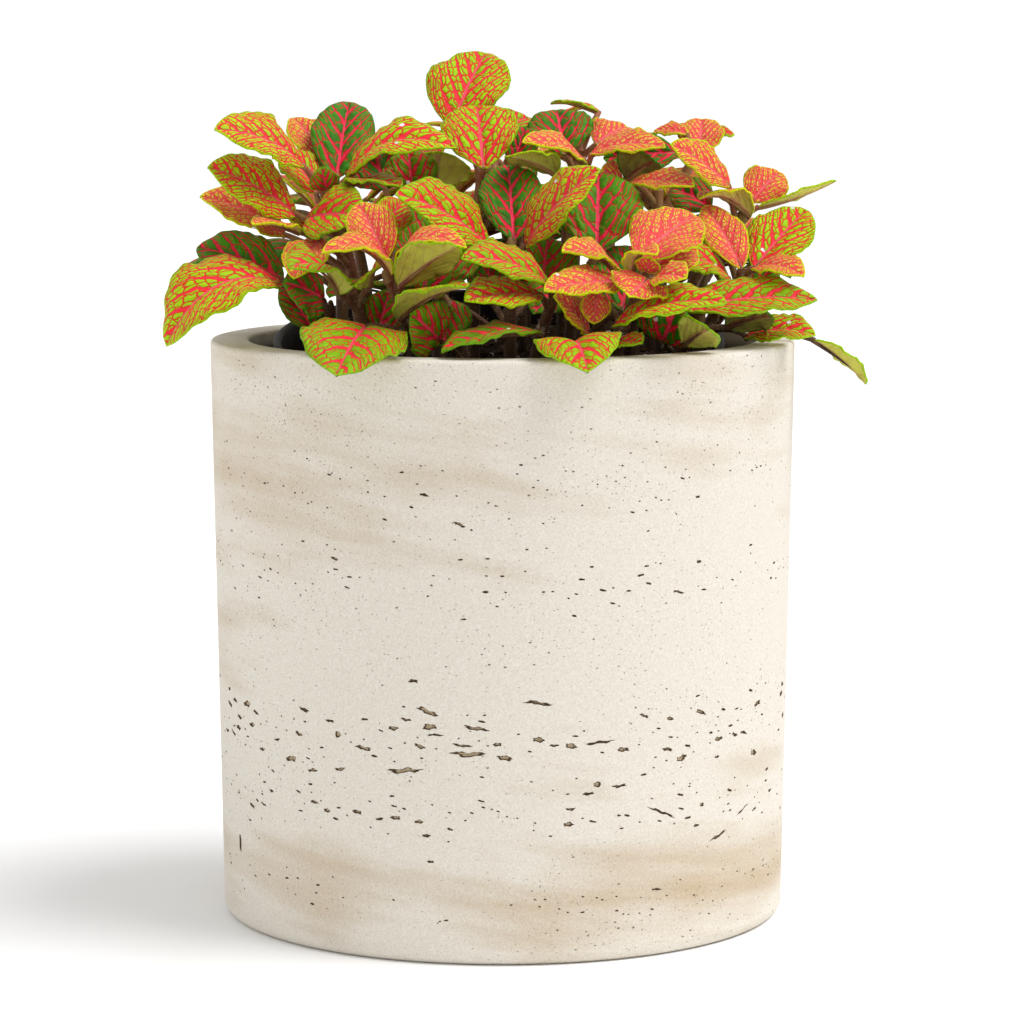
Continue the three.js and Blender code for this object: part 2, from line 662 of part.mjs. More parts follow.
// A stalk that reaches over the growing pot's rim leaves its stem above the planter's
function crossesRim(leaf) {
  return Math.hypot(leaf.base.x, leaf.base.y) > POT_RIM_RADIUS;
}

function attachHeight(leaf, stem) {
  const lowest = crossesRim(leaf) ? PLANTER_HEIGHT + 3 : -Infinity;
  let best = { height: 1, miss: Infinity };
  for (let height = 0.35; height <= 0.99; height += 0.04) {
    const point = stem.getPoint(height);
    const away = Math.hypot(leaf.base.x - point.x, leaf.base.y - point.y);
    const miss = Math.abs(Math.max(leaf.base.z - 0.5 * away - 1, lowest) - point.z);
    if (miss < best.miss) {
      best = { height, miss };
    }
  }
  return best.height;
}

function clearance(points, others) {
  let least = Infinity;
  for (const point of points) {
    for (const other of others) {
      least = Math.min(least, point.distanceTo(other.point) - other.radius);
    }
  }
  return least;
}

// Each stalk takes the first route that keeps clear of the other shoots' stems and stalks
function routeStalks(shoots) {
  const wood = [];
  shoots.forEach((shoot, index) => {
    wood.push(...shoot.stem.getPoints(20).map((point) => ({ point, radius: STEM_FOOT_RADIUS, index })));
    for (const leaf of shoot.leaves) {
      wood.push(...leaf.samples.map(({ point }) => ({ point, radius: BLADE_THICKNESS, index })));
    }
  });
  shoots.forEach((shoot, index) => {
    for (const leaf of shoot.leaves) {
      const height = attachHeight(leaf, shoot.stem);
      const lowest = crossesRim(leaf) ? height : 0.3;
      const others = wood.filter((other) => other.index !== index);
      let best = null;
      for (const lower of [0, 0.08, -0.08, 0.16, 0.24]) {
        for (const sway of [0, 2.5, -2.5, 5, -5, 7.5, -7.5]) {
          const at = THREE.MathUtils.clamp(height - lower, lowest, 0.99);
          const curve = stalkCurve(leaf, shoot.stem, at, sway);
          const free = clearance(curve.getPoints(9), others) - STALK_RADIUS;
          if (!best || (best.free < 1 && free > best.free)) {
            best = { curve, free };
          }
        }
      }
      wood.push(...best.curve.getPoints(9).map((point) => ({ point, radius: STALK_RADIUS, index })));
      leaf.stalk = best.curve;
    }
  });
}

// The stem thins upward and ends in a small pointed bud
function stemSolid({ stem }, grow) {
  const end = stem.getPoint(1);
  const onward = stem.getTangent(1);
  const whole = new THREE.CatmullRomCurve3([
    ...stem.getPoints(3),
    end.clone().addScaledVector(onward, BUD_LENGTH * 0.4),
    end.clone().addScaledVector(onward, BUD_LENGTH),
  ]);
  const radii = [STEM_FOOT_RADIUS, 1.6, 1.4, STEM_CROWN_RADIUS, BUD_RADIUS, 0.4];
  return roundSolid(whole, (u) => radii[Math.round(u * 5)] + grow, 5, 5);
}

function stalkClearance(leaf) {
  return roundSolid(leaf.stalk, () => STALK_RADIUS + GAP, 4, 2);
}

// The planter: a cast cylinder, a little narrower at the foot, with eased edges and a closed floor
function arcPoints(centreX, centreY, radius, fromDegrees, toDegrees) {
  return [0, 1].map((part) => {
    const angle = THREE.MathUtils.degToRad(fromDegrees + (toDegrees - fromDegrees) * part);
    return new THREE.Vector2(centreX + radius * Math.cos(angle), centreY + radius * Math.sin(angle));
  });
}

function turned(profile, segments) {
  return new THREE.LatheGeometry(profile, segments).rotateX(Math.PI / 2);
}

function planterGeometry() {
  const mouth = PLANTER_TOP_RADIUS - PLANTER_WALL;
  const profile = [
    new THREE.Vector2(0, 0),
    ...arcPoints(PLANTER_FOOT_RADIUS - PLANTER_EDGE, PLANTER_EDGE, PLANTER_EDGE, -90, 0),
    ...arcPoints(PLANTER_TOP_RADIUS - PLANTER_EDGE, PLANTER_HEIGHT - PLANTER_EDGE, PLANTER_EDGE, 0, 90),
    ...arcPoints(mouth + PLANTER_EDGE, PLANTER_HEIGHT - PLANTER_EDGE, PLANTER_EDGE, 90, 180),
    new THREE.Vector2(mouth - 1.5, PLANTER_FLOOR + 3),
    new THREE.Vector2(mouth - 4.5, PLANTER_FLOOR),
    new THREE.Vector2(0, PLANTER_FLOOR),
  ];
  return turned(profile, 48);
}

// The growing pot, in its own upright frame with its rim at z = 0
function potProfile(grow) {
  const slope = (POT_RIM_RADIUS - POT_LIP - POT_FOOT_RADIUS) / POT_HEIGHT;
  const underLip = POT_RIM_RADIUS - POT_LIP - slope * POT_LIP_HEIGHT;
  return [
    new THREE.Vector2(0, -POT_HEIGHT - grow),
    new THREE.Vector2(POT_FOOT_RADIUS + grow, -POT_HEIGHT - grow),
    new THREE.Vector2(underLip + grow, -POT_LIP_HEIGHT),
    new THREE.Vector2(POT_RIM_RADIUS - 0.4 + grow, -POT_LIP_HEIGHT),
    new THREE.Vector2(POT_RIM_RADIUS + grow, 0),
  ];
}

function placedLikePot(geometry) {
  return geometry
    .rotateX(POT_LEAN)
    .translate(POT_RIM_CENTRE.x, POT_RIM_CENTRE.y, POT_RIM_CENTRE.z);
}

function potGeometry() {
  const inside = POT_RIM_RADIUS - POT_LIP;
  const profile = [
    ...potProfile(0),
    new THREE.Vector2(inside, 0),
    new THREE.Vector2(inside - POT_WALL, -POT_LIP_HEIGHT),
    new THREE.Vector2(POT_FOOT_RADIUS - POT_WALL, POT_WALL * 1.2 - POT_HEIGHT),
    new THREE.Vector2(0, POT_WALL * 1.2 - POT_HEIGHT),
  ];
  let pot = solidFrom(turned(profile, 36));
  for (let hole = 0; hole < POT_DRAIN_HOLES; hole += 1) {
    const angle = (hole / POT_DRAIN_HOLES) * 2 * Math.PI;
    const drill = new THREE.CylinderGeometry(4, 4, 8, 8).rotateX(Math.PI / 2);
    drill.translate(28 * Math.cos(angle), 28 * Math.sin(angle), -POT_HEIGHT);
    pot = pot.subtract(solidFrom(drill));
  }
  return placedLikePot(geometryFrom(pot));
}

// The room that leaves keep clear round the planter's rim and the growing pot's lip
function rimsClear() {
  const outer = PLANTER_TOP_RADIUS + GAP;
  const inner = PLANTER_TOP_RADIUS - PLANTER_WALL - GAP;
  const ring = (low, inside, outside, high) => [
    new THREE.Vector2(inside, low),
    new THREE.Vector2(outside, low),
    new THREE.Vector2(outside, high),
    new THREE.Vector2(inside, high),
    new THREE.Vector2(inside, low),
  ];
  const planterRing = turned(ring(PLANTER_HEIGHT - 20, inner, outer, PLANTER_HEIGHT + GAP), 48);
  const lipRing = ring(-14, POT_RIM_RADIUS - POT_LIP - POT_WALL - 3, POT_RIM_RADIUS + GAP, GAP);
  return solidFrom(planterRing).add(solidFrom(placedLikePot(turned(lipRing, 36))));
}

// Clay pebbles, fused into one bed that the growing pot stands in
function bedGeometry() {
  const random = randomFrom(SEED);
  const outer = PLANTER_TOP_RADIUS - PLANTER_WALL - 2.2;
  const core = new THREE.CylinderGeometry(outer, outer - 3.2, BED_HEIGHT, 32).rotateX(Math.PI / 2);
  const floor = PLANTER_FLOOR + GAP;
  let bed = solidFrom(core.translate(0, 0, floor + BED_HEIGHT / 2));
  const pebbles = 12;
  for (let i = 0; i < pebbles; i += 1) {
    const angle = i * 2.39996;
    const radius = Math.sqrt((i + 0.5) / pebbles) * (outer - PEBBLE_RADIUS - 1);
    const pebble = new THREE.IcosahedronGeometry(PEBBLE_RADIUS * (0.8 + 0.4 * random()), 0);
    pebble.rotateX(random() * 3).rotateZ(random() * 3);
    pebble.translate(radius * Math.cos(angle), radius * Math.sin(angle), floor + BED_HEIGHT - 1 + 3 * random());
    bed = bed.add(solidFrom(pebble));
  }
  const potEnvelope = turned([...potProfile(3 * GAP), new THREE.Vector2(0, 0)], 20);
  return geometryFrom(bed.subtract(solidFrom(placedLikePot(potEnvelope))));
}

// Potting soil, filling the growing pot, with a plain hole for each stem
function soilGeometry(feet) {
  const rim = POT_RIM_RADIUS - POT_LIP - POT_WALL - GAP;
  const slope = (POT_RIM_RADIUS - POT_LIP - POT_FOOT_RADIUS) / POT_HEIGHT;
  const bottom = POT_WALL * 1.2 - POT_HEIGHT + GAP;
  const top = -SOIL_BELOW_RIM;
  const topRadius = rim - slope * (SOIL_BELOW_RIM + 2) - 0.4;
  const profile = [
    new THREE.Vector2(0, bottom),
    new THREE.Vector2(POT_FOOT_RADIUS - POT_WALL - GAP - 0.3, bottom),
    new THREE.Vector2(topRadius, top),
    ...[0.75, 0.4, 0].map((part) => new THREE.Vector2(topRadius * part, top)),
  ];
  const geometry = placedLikePot(turned(profile, 24));
  const position = geometry.attributes.position;
  const local = new THREE.Vector3();
  for (let i = 0; i < position.count; i += 1) {
    local.fromBufferAttribute(position, i);
    if (Math.abs(local.z - (POT_RIM_CENTRE.z - SOIL_BELOW_RIM + local.y * Math.tan(POT_LEAN))) < 3) {
      const inward = 1 - (Math.hypot(local.x - POT_RIM_CENTRE.x, local.y) / topRadius) ** 4;
      const level = soilHeight(local.x, local.y);
      position.setZ(i, THREE.MathUtils.lerp(local.z, level, Math.max(inward, 0)));
    }
  }
  let soil = solidFrom(geometry);
  for (const [x, y] of feet) {
    const radius = STEM_FOOT_RADIUS + 1.8;
    const hole = new THREE.CylinderGeometry(radius, radius, 30, 6).rotateX(Math.PI / 2);
    hole.translate(x, y, soilHeight(x, y) - STEM_DEPTH - 3 * GAP + 15);
    soil = soil.subtract(solidFrom(hole));
  }
  return geometryFrom(soil);
}

function buildShoots() {
  const shoots = plantShoots();
  bendClear(shoots, 60);
  routeStalks(shoots);
  const rims = rimsClear();
  for (const shoot of shoots) {
    shoot.stemBody = stemSolid(shoot, 0);
    shoot.woodClear = joined([stemSolid(shoot, GAP), ...shoot.leaves.map(stalkClearance)]);
    shoot.leafBody = joined(shoot.leaves.map((leaf) => leafSolid(leaf, 0)));
    shoot.leafClear = joined(shoot.leaves.map((leaf) => leafSolid(leaf, GAP)));
  }
  return shoots.map((shoot, index) => {
    let leaves = shoot.leafBody.subtract(rims);
    shoots.forEach((other, order) => {
      if (order !== index) {
        const blades = order < index ? [other.leafClear.subtract(shoot.woodClear)] : [];
        leaves = leaves.subtract(joined([other.woodClear, ...blades]));
      }
    });
    const geometry = geometryFrom(shoot.stemBody.add(leaves));
    return { name: `shoot_${String(index + 1).padStart(2, '0')}`, geometry, foot: shoot.foot };
  });
}

const STONE = new THREE.MeshStandardMaterial({ color: 0xe8e1d2, roughness: 0.85, metalness: 0 });
const PLASTIC = new THREE.MeshStandardMaterial({ color: 0x2a2424, roughness: 0.5, metalness: 0 });
const CLAY = new THREE.MeshStandardMaterial({ color: 0x9a5a3c, roughness: 0.95, metalness: 0 });
const SOIL = new THREE.MeshStandardMaterial({ color: 0x2b1d14, roughness: 1, metalness: 0 });
const FOLIAGE = new THREE.MeshStandardMaterial({ color: 0xa8a83a, roughness: 0.55, metalness: 0 });

const group = new THREE.Group();

function addMesh(name, geometry, material) {
  const mesh = new THREE.Mesh(geometry, material);
  mesh.name = name;
  group.add(mesh);
}

const shoots = buildShoots();
addMesh('planter', planterGeometry(), STONE);
addMesh('nursery_pot', potGeometry(), PLASTIC);
addMesh('drainage_bed', bedGeometry(), CLAY);
addMesh('potting_soil', soilGeometry(shoots.map((shoot) => shoot.foot)), SOIL);
for (const { name, geometry } of shoots) {
  addMesh(name, geometry, FOLIAGE);
}

export default group;
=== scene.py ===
import math

import bmesh
import bpy
import numpy as np
from mathutils import Matrix, Vector


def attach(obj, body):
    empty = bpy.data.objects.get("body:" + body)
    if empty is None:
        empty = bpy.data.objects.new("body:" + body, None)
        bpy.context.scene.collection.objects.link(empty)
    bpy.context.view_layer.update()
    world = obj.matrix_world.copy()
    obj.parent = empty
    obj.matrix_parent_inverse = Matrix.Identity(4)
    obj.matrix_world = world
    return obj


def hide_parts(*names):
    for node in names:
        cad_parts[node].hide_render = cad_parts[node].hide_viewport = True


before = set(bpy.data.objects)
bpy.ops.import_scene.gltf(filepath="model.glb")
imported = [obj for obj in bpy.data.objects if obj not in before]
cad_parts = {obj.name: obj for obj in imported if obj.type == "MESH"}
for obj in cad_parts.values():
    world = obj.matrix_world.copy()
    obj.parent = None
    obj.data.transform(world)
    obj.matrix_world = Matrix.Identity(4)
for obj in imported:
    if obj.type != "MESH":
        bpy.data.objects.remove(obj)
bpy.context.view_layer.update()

# The planter: a thick-walled cylinder of cast stone, ivory with tan washes, and a little narrower
# at the foot. It is cast in a mould, which eases its edges, and air against the mould leaves pits
# in its outside that are longest along the wall and lie in level bands.
MM = 0.001
PLANTER_HEIGHT = 153.2 * MM
PLANTER_TOP_RADIUS = 77.5 * MM
PLANTER_FOOT_RADIUS = 74.8 * MM
PLANTER_WALL = 10.3 * MM
PLANTER_FLOOR = 12 * MM
PLANTER_RIM_EDGE = 1.1 * MM
PLANTER_FOOT_EDGE = 3 * MM
PLANTER_SIDES = 512


def only(*pieces):
    """Select these pieces and nothing else, with the first one active."""
    bpy.ops.object.select_all(action="DESELECT")
    for piece in pieces:
        piece.select_set(True)
    bpy.context.view_layer.objects.active = pieces[0]


def pick(piece, kind, wanted):
    """In edit mode, select the faces or edges that are wanted, and nothing else."""
    mesh = bmesh.from_edit_mesh(piece.data)
    bpy.ops.mesh.select_mode(type="FACE" if kind == "faces" else "EDGE")
    bpy.ops.mesh.select_all(action="DESELECT")
    for item in getattr(mesh, kind):
        if wanted(item):
            item.select_set(True)
    mesh.select_flush_mode()
    bmesh.update_edit_mesh(piece.data)


def added(name):
    """The primitive that was just added, named, with its place moved into its mesh."""
    piece = bpy.context.active_object
    piece.name = name
    bpy.ops.object.transform_apply(location=True, rotation=True, scale=True)
    return piece


def copy_of(form, name):
    """A piece with its own copy of a form's mesh."""
    piece = bpy.data.objects.new(name, form.data.copy())
    bpy.context.collection.objects.link(piece)
    return piece


def level_ring(edge, z, radius):
    """Whether an edge lies on a level ring of that height and radius."""
    for vert in edge.verts:
        if abs(vert.co.z - z) > 0.01 * MM or abs(vert.co.xy.length - radius) > 0.2 * MM:
            return False
    return True


bpy.ops.object.select_all(action="DESELECT")
bpy.ops.mesh.primitive_cylinder_add(
    vertices=PLANTER_SIDES,
    radius=PLANTER_TOP_RADIUS,
    depth=PLANTER_HEIGHT,
    location=(0, 0, PLANTER_HEIGHT / 2),
)
planter = added("stone_planter")
bpy.ops.object.mode_set(mode="EDIT")
pick(planter, "faces", lambda face: face.normal.z < -0.5)
foot_scale = PLANTER_FOOT_RADIUS / PLANTER_TOP_RADIUS
bpy.ops.transform.resize(value=(foot_scale, foot_scale, 1), center_override=(0, 0, 0))
pick(planter, "faces", lambda face: face.normal.z > 0.5)
bpy.ops.mesh.inset(thickness=PLANTER_WALL)
hollow_depth = PLANTER_HEIGHT - PLANTER_FLOOR
bpy.ops.mesh.extrude_region_move(TRANSFORM_OT_translate={"value": (0, 0, -hollow_depth)})
inner_radius = PLANTER_TOP_RADIUS - PLANTER_WALL
pick(planter, "edges", lambda edge: level_ring(edge, 0, PLANTER_FOOT_RADIUS))
bpy.ops.mesh.bevel(offset=PLANTER_FOOT_EDGE, segments=5, affect="EDGES")
pick(
    planter,
    "edges",
    lambda edge: level_ring(edge, PLANTER_HEIGHT, PLANTER_TOP_RADIUS)
    or level_ring(edge, PLANTER_HEIGHT, inner_radius),
)
bpy.ops.mesh.bevel(offset=PLANTER_RIM_EDGE, segments=3, affect="EDGES")
bpy.ops.object.mode_set(mode="OBJECT")

# A pit is cut by a ragged, lumpy ball that is drawn out along the wall and bent with it. It is
# given by its turn from the front in degrees, its height, its length, how tall it is, and its
# slope. These are the largest in front, with two cracks low on the right and one low on the left.
FRONT_PITS = [
    (-14.3, 65, 5.4, 1.5, -0.25),
    (-13.8, 61, 3.6, 1.8, -0.10),
    (-12.8, 59.1, 4.4, 0.7, 0.00),
    (-4.9, 61, 6.4, 1.1, -0.15),
    (6.8, 67.4, 7.4, 1.1, -0.12),
    (-7.6, 56.6, 5.2, 0.8, -0.10),
    (-6.3, 54.4, 8.8, 1.5, -0.02),
    (-0.9, 57.0, 2.4, 1.4, 0.05),
    (-27.5, 54.6, 4.6, 1.2, -0.05),
    (-18.9, 49.6, 9.4, 1.4, 0.10),
    (-33.2, 57.4, 2.0, 1.9, 0.00),
    (-17.0, 72.5, 2.7, 1.1, 0.00),
    (18.8, 56.8, 8.2, 0.9, 0.05),
    (18.4, 46.1, 2.2, 1.8, 0.00),
    (16.7, 43.9, 3.2, 1.0, -0.05),
    (23.0, 45.3, 4.2, 0.9, 0.00),
    (32.5, 37.4, 8.6, 0.9, -0.42),
    (42.5, 37.8, 1.6, 1.6, 0.00),
    (47.5, 28.8, 6.6, 1.0, 0.30),
    (55.5, 34.0, 6.4, 0.7, 0.42),
    (31.4, 17.6, 3.0, 0.8, 0.00),
    (-66.0, 22.8, 1.8, 5.4, -0.50),
    (-13.8, 26.6, 2.0, 0.9, 0.00),
    (-7.9, 112.4, 3.0, 1.0, -0.30),
    (-14.6, 119.6, 2.6, 0.9, -0.10),
    (35.6, 93.6, 3.6, 0.8, -0.20),
    (40.6, 100.8, 1.8, 1.1, 0.00),
    (40.0, 117.4, 1.7, 0.9, 0.00),
]
# The other pits: the height and spread of a band, how many are in it and how long the longest is
PIT_BANDS = [
    (119, 17, 170, 1.6),
    (97, 10, 200, 2.4),
    (56, 13, 420, 4.0),
    (38, 10, 320, 3.0),
    (15, 8, 160, 1.8),
]
PIT_SEED = 7
PIT_SIDE_SLOPE = 1.8
PIT_SHORTEST = 0.8
PIT_FLATTEST = 0.6
# How finely a ball is divided, and the length of the shortest pit that it is for
PIT_BALLS = [(1, 0), (2, 1.2), (4, 2.4)]
WALL_SLOPE = (PLANTER_TOP_RADIUS - PLANTER_FOOT_RADIUS) / PLANTER_HEIGHT

pits = [[turn, *(size * MM for size in sizes), slope] for turn, *sizes, slope in FRONT_PITS]
random = np.random.default_rng(PIT_SEED)
for height, spread, count, longest in PIT_BANDS:
    for _ in range(count):
        turn = random.uniform(-180, 180)
        place = (height + spread * random.uniform(-1, 1) * random.uniform(0.2, 1)) * MM
        long = (PIT_SHORTEST + (longest - PIT_SHORTEST) * random.random() ** 2.2) * MM
        tall = max(PIT_FLATTEST * MM, long * random.uniform(0.28, 0.5))
        for other, level, other_long, other_tall, _ in pits:
            along = abs(turn - other) * math.radians(PLANTER_TOP_RADIUS)
            clear_beside = along * 2 > long + other_long + MM
            if not clear_beside and abs(place - level) * 2 < tall + other_tall + 1.6 * MM:
                break
        else:
            pits.append([turn, place, long, tall, random.uniform(-0.3, 0.15)])

bpy.ops.object.select_all(action="DESELECT")
balls = []
for fineness, _ in PIT_BALLS:
    bpy.ops.mesh.primitive_ico_sphere_add(subdivisions=fineness, radius=1)
    balls.append(added("pit_ball"))
cutters = []
for turn, height, long, tall, slope in pits:
    ball = balls[sum(long > shortest * MM for _, shortest in PIT_BALLS) - 1]
    cutter = copy_of(ball, "pit")
    deepest = (0.2 * MM + tall * 0.3) * random.uniform(0.8, 1.2)
    lumps = random.uniform(0.6, 1) * long / tall
    phase, drift_phase = random.uniform(0, 6, 2)
    for vert in cutter.data.vertices:
        along, up, out = vert.co
        if out < 0:
            out = -min(1, PIT_SIDE_SLOPE * (1 - math.hypot(along, up))) * random.uniform(0.8, 1.1)
        else:
            out += 0.4
        around = math.atan2(up, along)
        ragged = 1 + 0.13 * math.sin(5 * around + phase) + 0.09 * math.sin(11 * around + drift_phase)
        along_wall = along * ragged * long / 2
        lumpy = 0.85 + 0.15 * math.sin(along * lumps * 2 + phase)
        blunt = max(1.05 - along * along, 0.05) ** -0.25
        drift = 0.3 * math.sin(along * lumps + drift_phase) * (ball is balls[-1])
        up_wall = height + (up * ragged * blunt * lumpy + drift) * tall / 2 + along_wall * slope
        radius = PLANTER_FOOT_RADIUS + WALL_SLOPE * up_wall + out * deepest
        angle = math.radians(turn) + along_wall / radius
        vert.co = (radius * math.sin(angle), -radius * math.cos(angle), up_wall)
    cutters.append(cutter)
only(*cutters)
bpy.ops.object.join()
pit_cutter = bpy.context.active_object
only(planter)
pitted = planter.modifiers.new("pits", "BOOLEAN")
pitted.operation = "DIFFERENCE"
pitted.solver = "MANIFOLD"
pitted.object = pit_cutter
bpy.ops.object.modifier_apply(modifier=pitted.name)
for spent in (pit_cutter, *balls):
    bpy.data.objects.remove(spent)


class Shade:
    """A value in a material's nodes. Sums with it add Math nodes to the same material."""

    def __init__(self, socket):
        self.socket = socket

    @classmethod
    def node(cls, tree, kind, settings, values, output=0):
        """Add a node, set it up, then set or link its sockets; the result is one of its outputs."""
        made = tree.nodes.new(kind)
        for name, setting in settings.items():
            if name == "stops":
                for stop in list(made.color_ramp.elements)[1:]:
                    made.color_ramp.elements.remove(stop)
                made.color_ramp.elements[0].position = setting[0][0]
                made.color_ramp.elements[0].color = setting[0][1]
                for position, colour in setting[1:]:
                    made.color_ramp.elements.new(position).color = colour
            else:
                setattr(made, name, setting)
        for name, value in values.items():
            if isinstance(value, cls):
                tree.links.new(value.socket, made.inputs[name])
            else:
                made.inputs[name].default_value = value
        return cls(made.outputs[output])

    def maths(self, operation, *values, clamp=False):
        settings = {"operation": operation, "use_clamp": clamp}
        return self.node(self.socket.id_data, "ShaderNodeMath", settings, dict(enumerate(values)))

    def __add__(self, other):
        return self.maths("ADD", self, other)

    def __sub__(self, other):
        return self.maths("SUBTRACT", self, other)

    def __mul__(self, other):
        return self.maths("MULTIPLY", self, other)

    def __truediv__(self, other):
        return self.maths("DIVIDE", self, other)

    def __pow__(self, other):
        return self.maths("POWER", self, other)

    def __gt__(self, other):
        return self.maths("GREATER_THAN", self, other)

    def __rsub__(self, other):
        return self.maths("SUBTRACT", other, self)

    def __abs__(self):
        return self.maths("ABSOLUTE", self)

    __radd__ = __add__
    __rmul__ = __mul__

    def fraction(self):
        return self.maths("FRACT", self)

    def clamped(self):
        return self.maths("ADD", self, 0, clamp=True)

    def parts(self):
        """The three numbers of a vector."""
        split = self.node(self.socket.id_data, "ShaderNodeSeparateXYZ", {}, {0: self})
        return [Shade(split.socket.node.outputs[axis]) for axis in range(3)]

    def mixed(self, first, second):
        """One colour where this value is 0 and another where it is 1."""
        settings = {"data_type": "RGBA", "clamp_factor": True}
        return self.node(self.socket.id_data, "ShaderNodeMix", settings, {0: self, 6: first, 7: second}, 2)


def paint(red, green, blue):
    """A colour as a screen shows it, in 255 steps, as light that nodes mix."""
    steps = (red / 255, green / 255, blue / 255)
    return (*(c / 12.92 if c <= 0.04045 else ((c + 0.055) / 1.055) ** 2.4 for c in steps), 1)


def grey(value):
    """A shade of grey as a colour."""
    return (value, value, value, 1)


def new_material(name, **constant):
    """A material with one Principled shader, whose sockets are set to those constants."""
    material = bpy.data.materials.new(name)
    material.use_nodes = True
    shader = material.node_tree.nodes["Principled BSDF"]
    for socket, value in constant.items():
        shader.inputs[socket.replace("_", " ")].default_value = value
    return material, material.node_tree, shader.inputs


def object_place(tree):
    """Where a point lies on the object, in metres."""
    return Shade.node(tree, "ShaderNodeTexCoord", {}, {}, 3)


def vector(tree, x, y, z=0):
    return Shade.node(tree, "ShaderNodeCombineXYZ", {}, {0: x, 1: y, 2: z})


def noise(tree, place, scale, detail=2, roughness=0.5):
    """Smooth noise from 0 to 1 over a place."""
    values = {"Vector": place, "Scale": scale, "Detail": detail, "Roughness": roughness}
    return Shade.node(tree, "ShaderNodeTexNoise", {}, values)


def bumped(tree, inputs, height, distance):
    """Feed a height, in units of that distance, to the shader's normal."""
    values = {"Height": height, "Distance": distance}
    tree.links.new(Shade.node(tree, "ShaderNodeBump", {}, values).socket, inputs["Normal"])


def feed(tree, value, socket):
    tree.links.new(value.socket, socket)


# Ivory stone, washed with tan in level streaks, with a sandy grain and fine pinholes
cast_stone, tree, inputs = new_material("cast_stone", Roughness=0.85, Specular_IOR_Level=0.2)
place = object_place(tree)
x, y, z = place.parts()
streak = noise(tree, vector(tree, x * 14, y * 14, z * 105 + x * 14), 1, 3, 0.55)
cloud = noise(tree, vector(tree, x, y, z * 1.3), 13, 3, 0.55)
low = (1 - abs(z - 0.016) * 55).clamped() * 0.75
high = (1 - abs(z - 0.125) * 28).clamped() * (0.5 - x * 6).clamped() * 0.7
wash = ((streak - 0.5) * 1.8 + (cloud - 0.58) * 2.0 + low + high).clamped()
grain = noise(tree, place, 1900, 3, 0.7)
speck = noise(tree, place, 650, 2, 0.6)
band = noise(tree, vector(tree, x * 12, y * 12, z * 40), 1, 3, 0.6)
squashed = vector(tree, x, y, z * 1.7)
dots = []
for spacing, rare, size in ((2.6 * MM, 0.62, 0.15), (1.2 * MM, 0.55, 0.17)):
    cells = Shade.node(tree, "ShaderNodeTexVoronoi", {}, {"Vector": squashed, "Scale": 1 / spacing})
    middle = Shade(cells.socket.node.outputs["Position"])
    chance = Shade.node(tree, "ShaderNodeTexWhiteNoise", {"noise_dimensions": "3D"}, {"Vector": middle})
    kept = ((chance + (band - 0.5) * 1.6 - rare) * 3).clamped()
    dots.append(((kept * size - cells) * 16).clamped())
pinhole = 1 - (1 - dots[0]) * (1 - dots[1] * 0.8)
ivory = (wash * 0.9).mixed(paint(238, 234, 226), paint(206, 186, 158))
sandy = ((grain - 0.3) * 2).clamped().mixed(paint(202, 190, 168), grey(1))
settings = {"data_type": "RGBA", "blend_type": "MULTIPLY"}
tinted = Shade.node(tree, "ShaderNodeMix", settings, {0: 0.55, 6: ivory, 7: sandy}, 2)
# The pinholes are painted dark, as painted shade in the tiny holes; the bump also dents them.
colour = (pinhole * 0.85).mixed(tinted, paint(112, 98, 80))

# Painted shade darkens the hollow below its rim. Pits are dark at the lip and dusty on the floor.
from_axis = (x * x + y * y) ** 0.5
on_inside = inner_radius + 0.2 * MM - from_axis > 0
inside_shade = ((PLANTER_HEIGHT - 2 * MM - z) / (3 * MM)).clamped() * on_inside
colour = (inside_shade * 0.8).mixed(colour, paint(88, 78, 66))
sunk = PLANTER_FOOT_RADIUS + z * WALL_SLOPE - from_axis
off_edges = (z > PLANTER_FOOT_EDGE) * (PLANTER_HEIGHT - PLANTER_RIM_EDGE - z > 0)
in_pit = (sunk / (0.6 * MM) - 0.06).clamped() * (5 * MM - sunk > 0) * off_edges
# A pit's dark lip is partly dirt and partly painted shade; its floor is dusty tan.
pit_dirt_and_shade = ((in_pit - 0.62) * 5).clamped().mixed(paint(88, 70, 48), paint(204, 186, 158))
feed(tree, (in_pit * 6).clamped().mixed(colour, pit_dirt_and_shade), inputs["Base Color"])
bumped(tree, inputs, grain * 0.4 + speck * 0.35 + cloud * 2 - pinhole * 2, 0.22 * MM)
planter.data.materials.clear()
planter.data.materials.append(cast_stone)
only(planter)
bpy.ops.object.shade_smooth_by_angle(angle=math.radians(30))

# The wall has enough sides to look round as they are. Smoothing it would dent it around the pits.
for face in planter.data.polygons:
    on_outside = face.center.xy.length > inner_radius + PLANTER_WALL / 2
    if on_outside and PLANTER_FOOT_EDGE < face.center.z < PLANTER_HEIGHT - PLANTER_RIM_EDGE:
        face.use_smooth = False
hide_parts("planter")
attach(planter, "root")

# The drainage bed: loose balls of fired clay at the bottom of the planter, on which the growing
# pot stands.
def rough_material(name, dark, light, scale, depth):
    """A dull, crumbly surface of two shades."""
    material, tree, inputs = new_material(name, Roughness=0.95, Specular_IOR_Level=0.2)
    place = object_place(tree)
    patch = noise(tree, place, scale, 4, 0.65)
    feed(tree, ((patch - 0.3) * 2.4).clamped().mixed(dark, light), inputs["Base Color"])
    bumped(tree, inputs, patch + noise(tree, place, scale * 4, 3) * 0.4, depth)
    return material


bed = bpy.data.objects["drainage_bed"]
bed.data.materials.clear()
fired_clay = rough_material("fired_clay", paint(104, 58, 38), paint(168, 104, 74), 320, 0.4 * MM)
bed.data.materials.append(fired_clay)

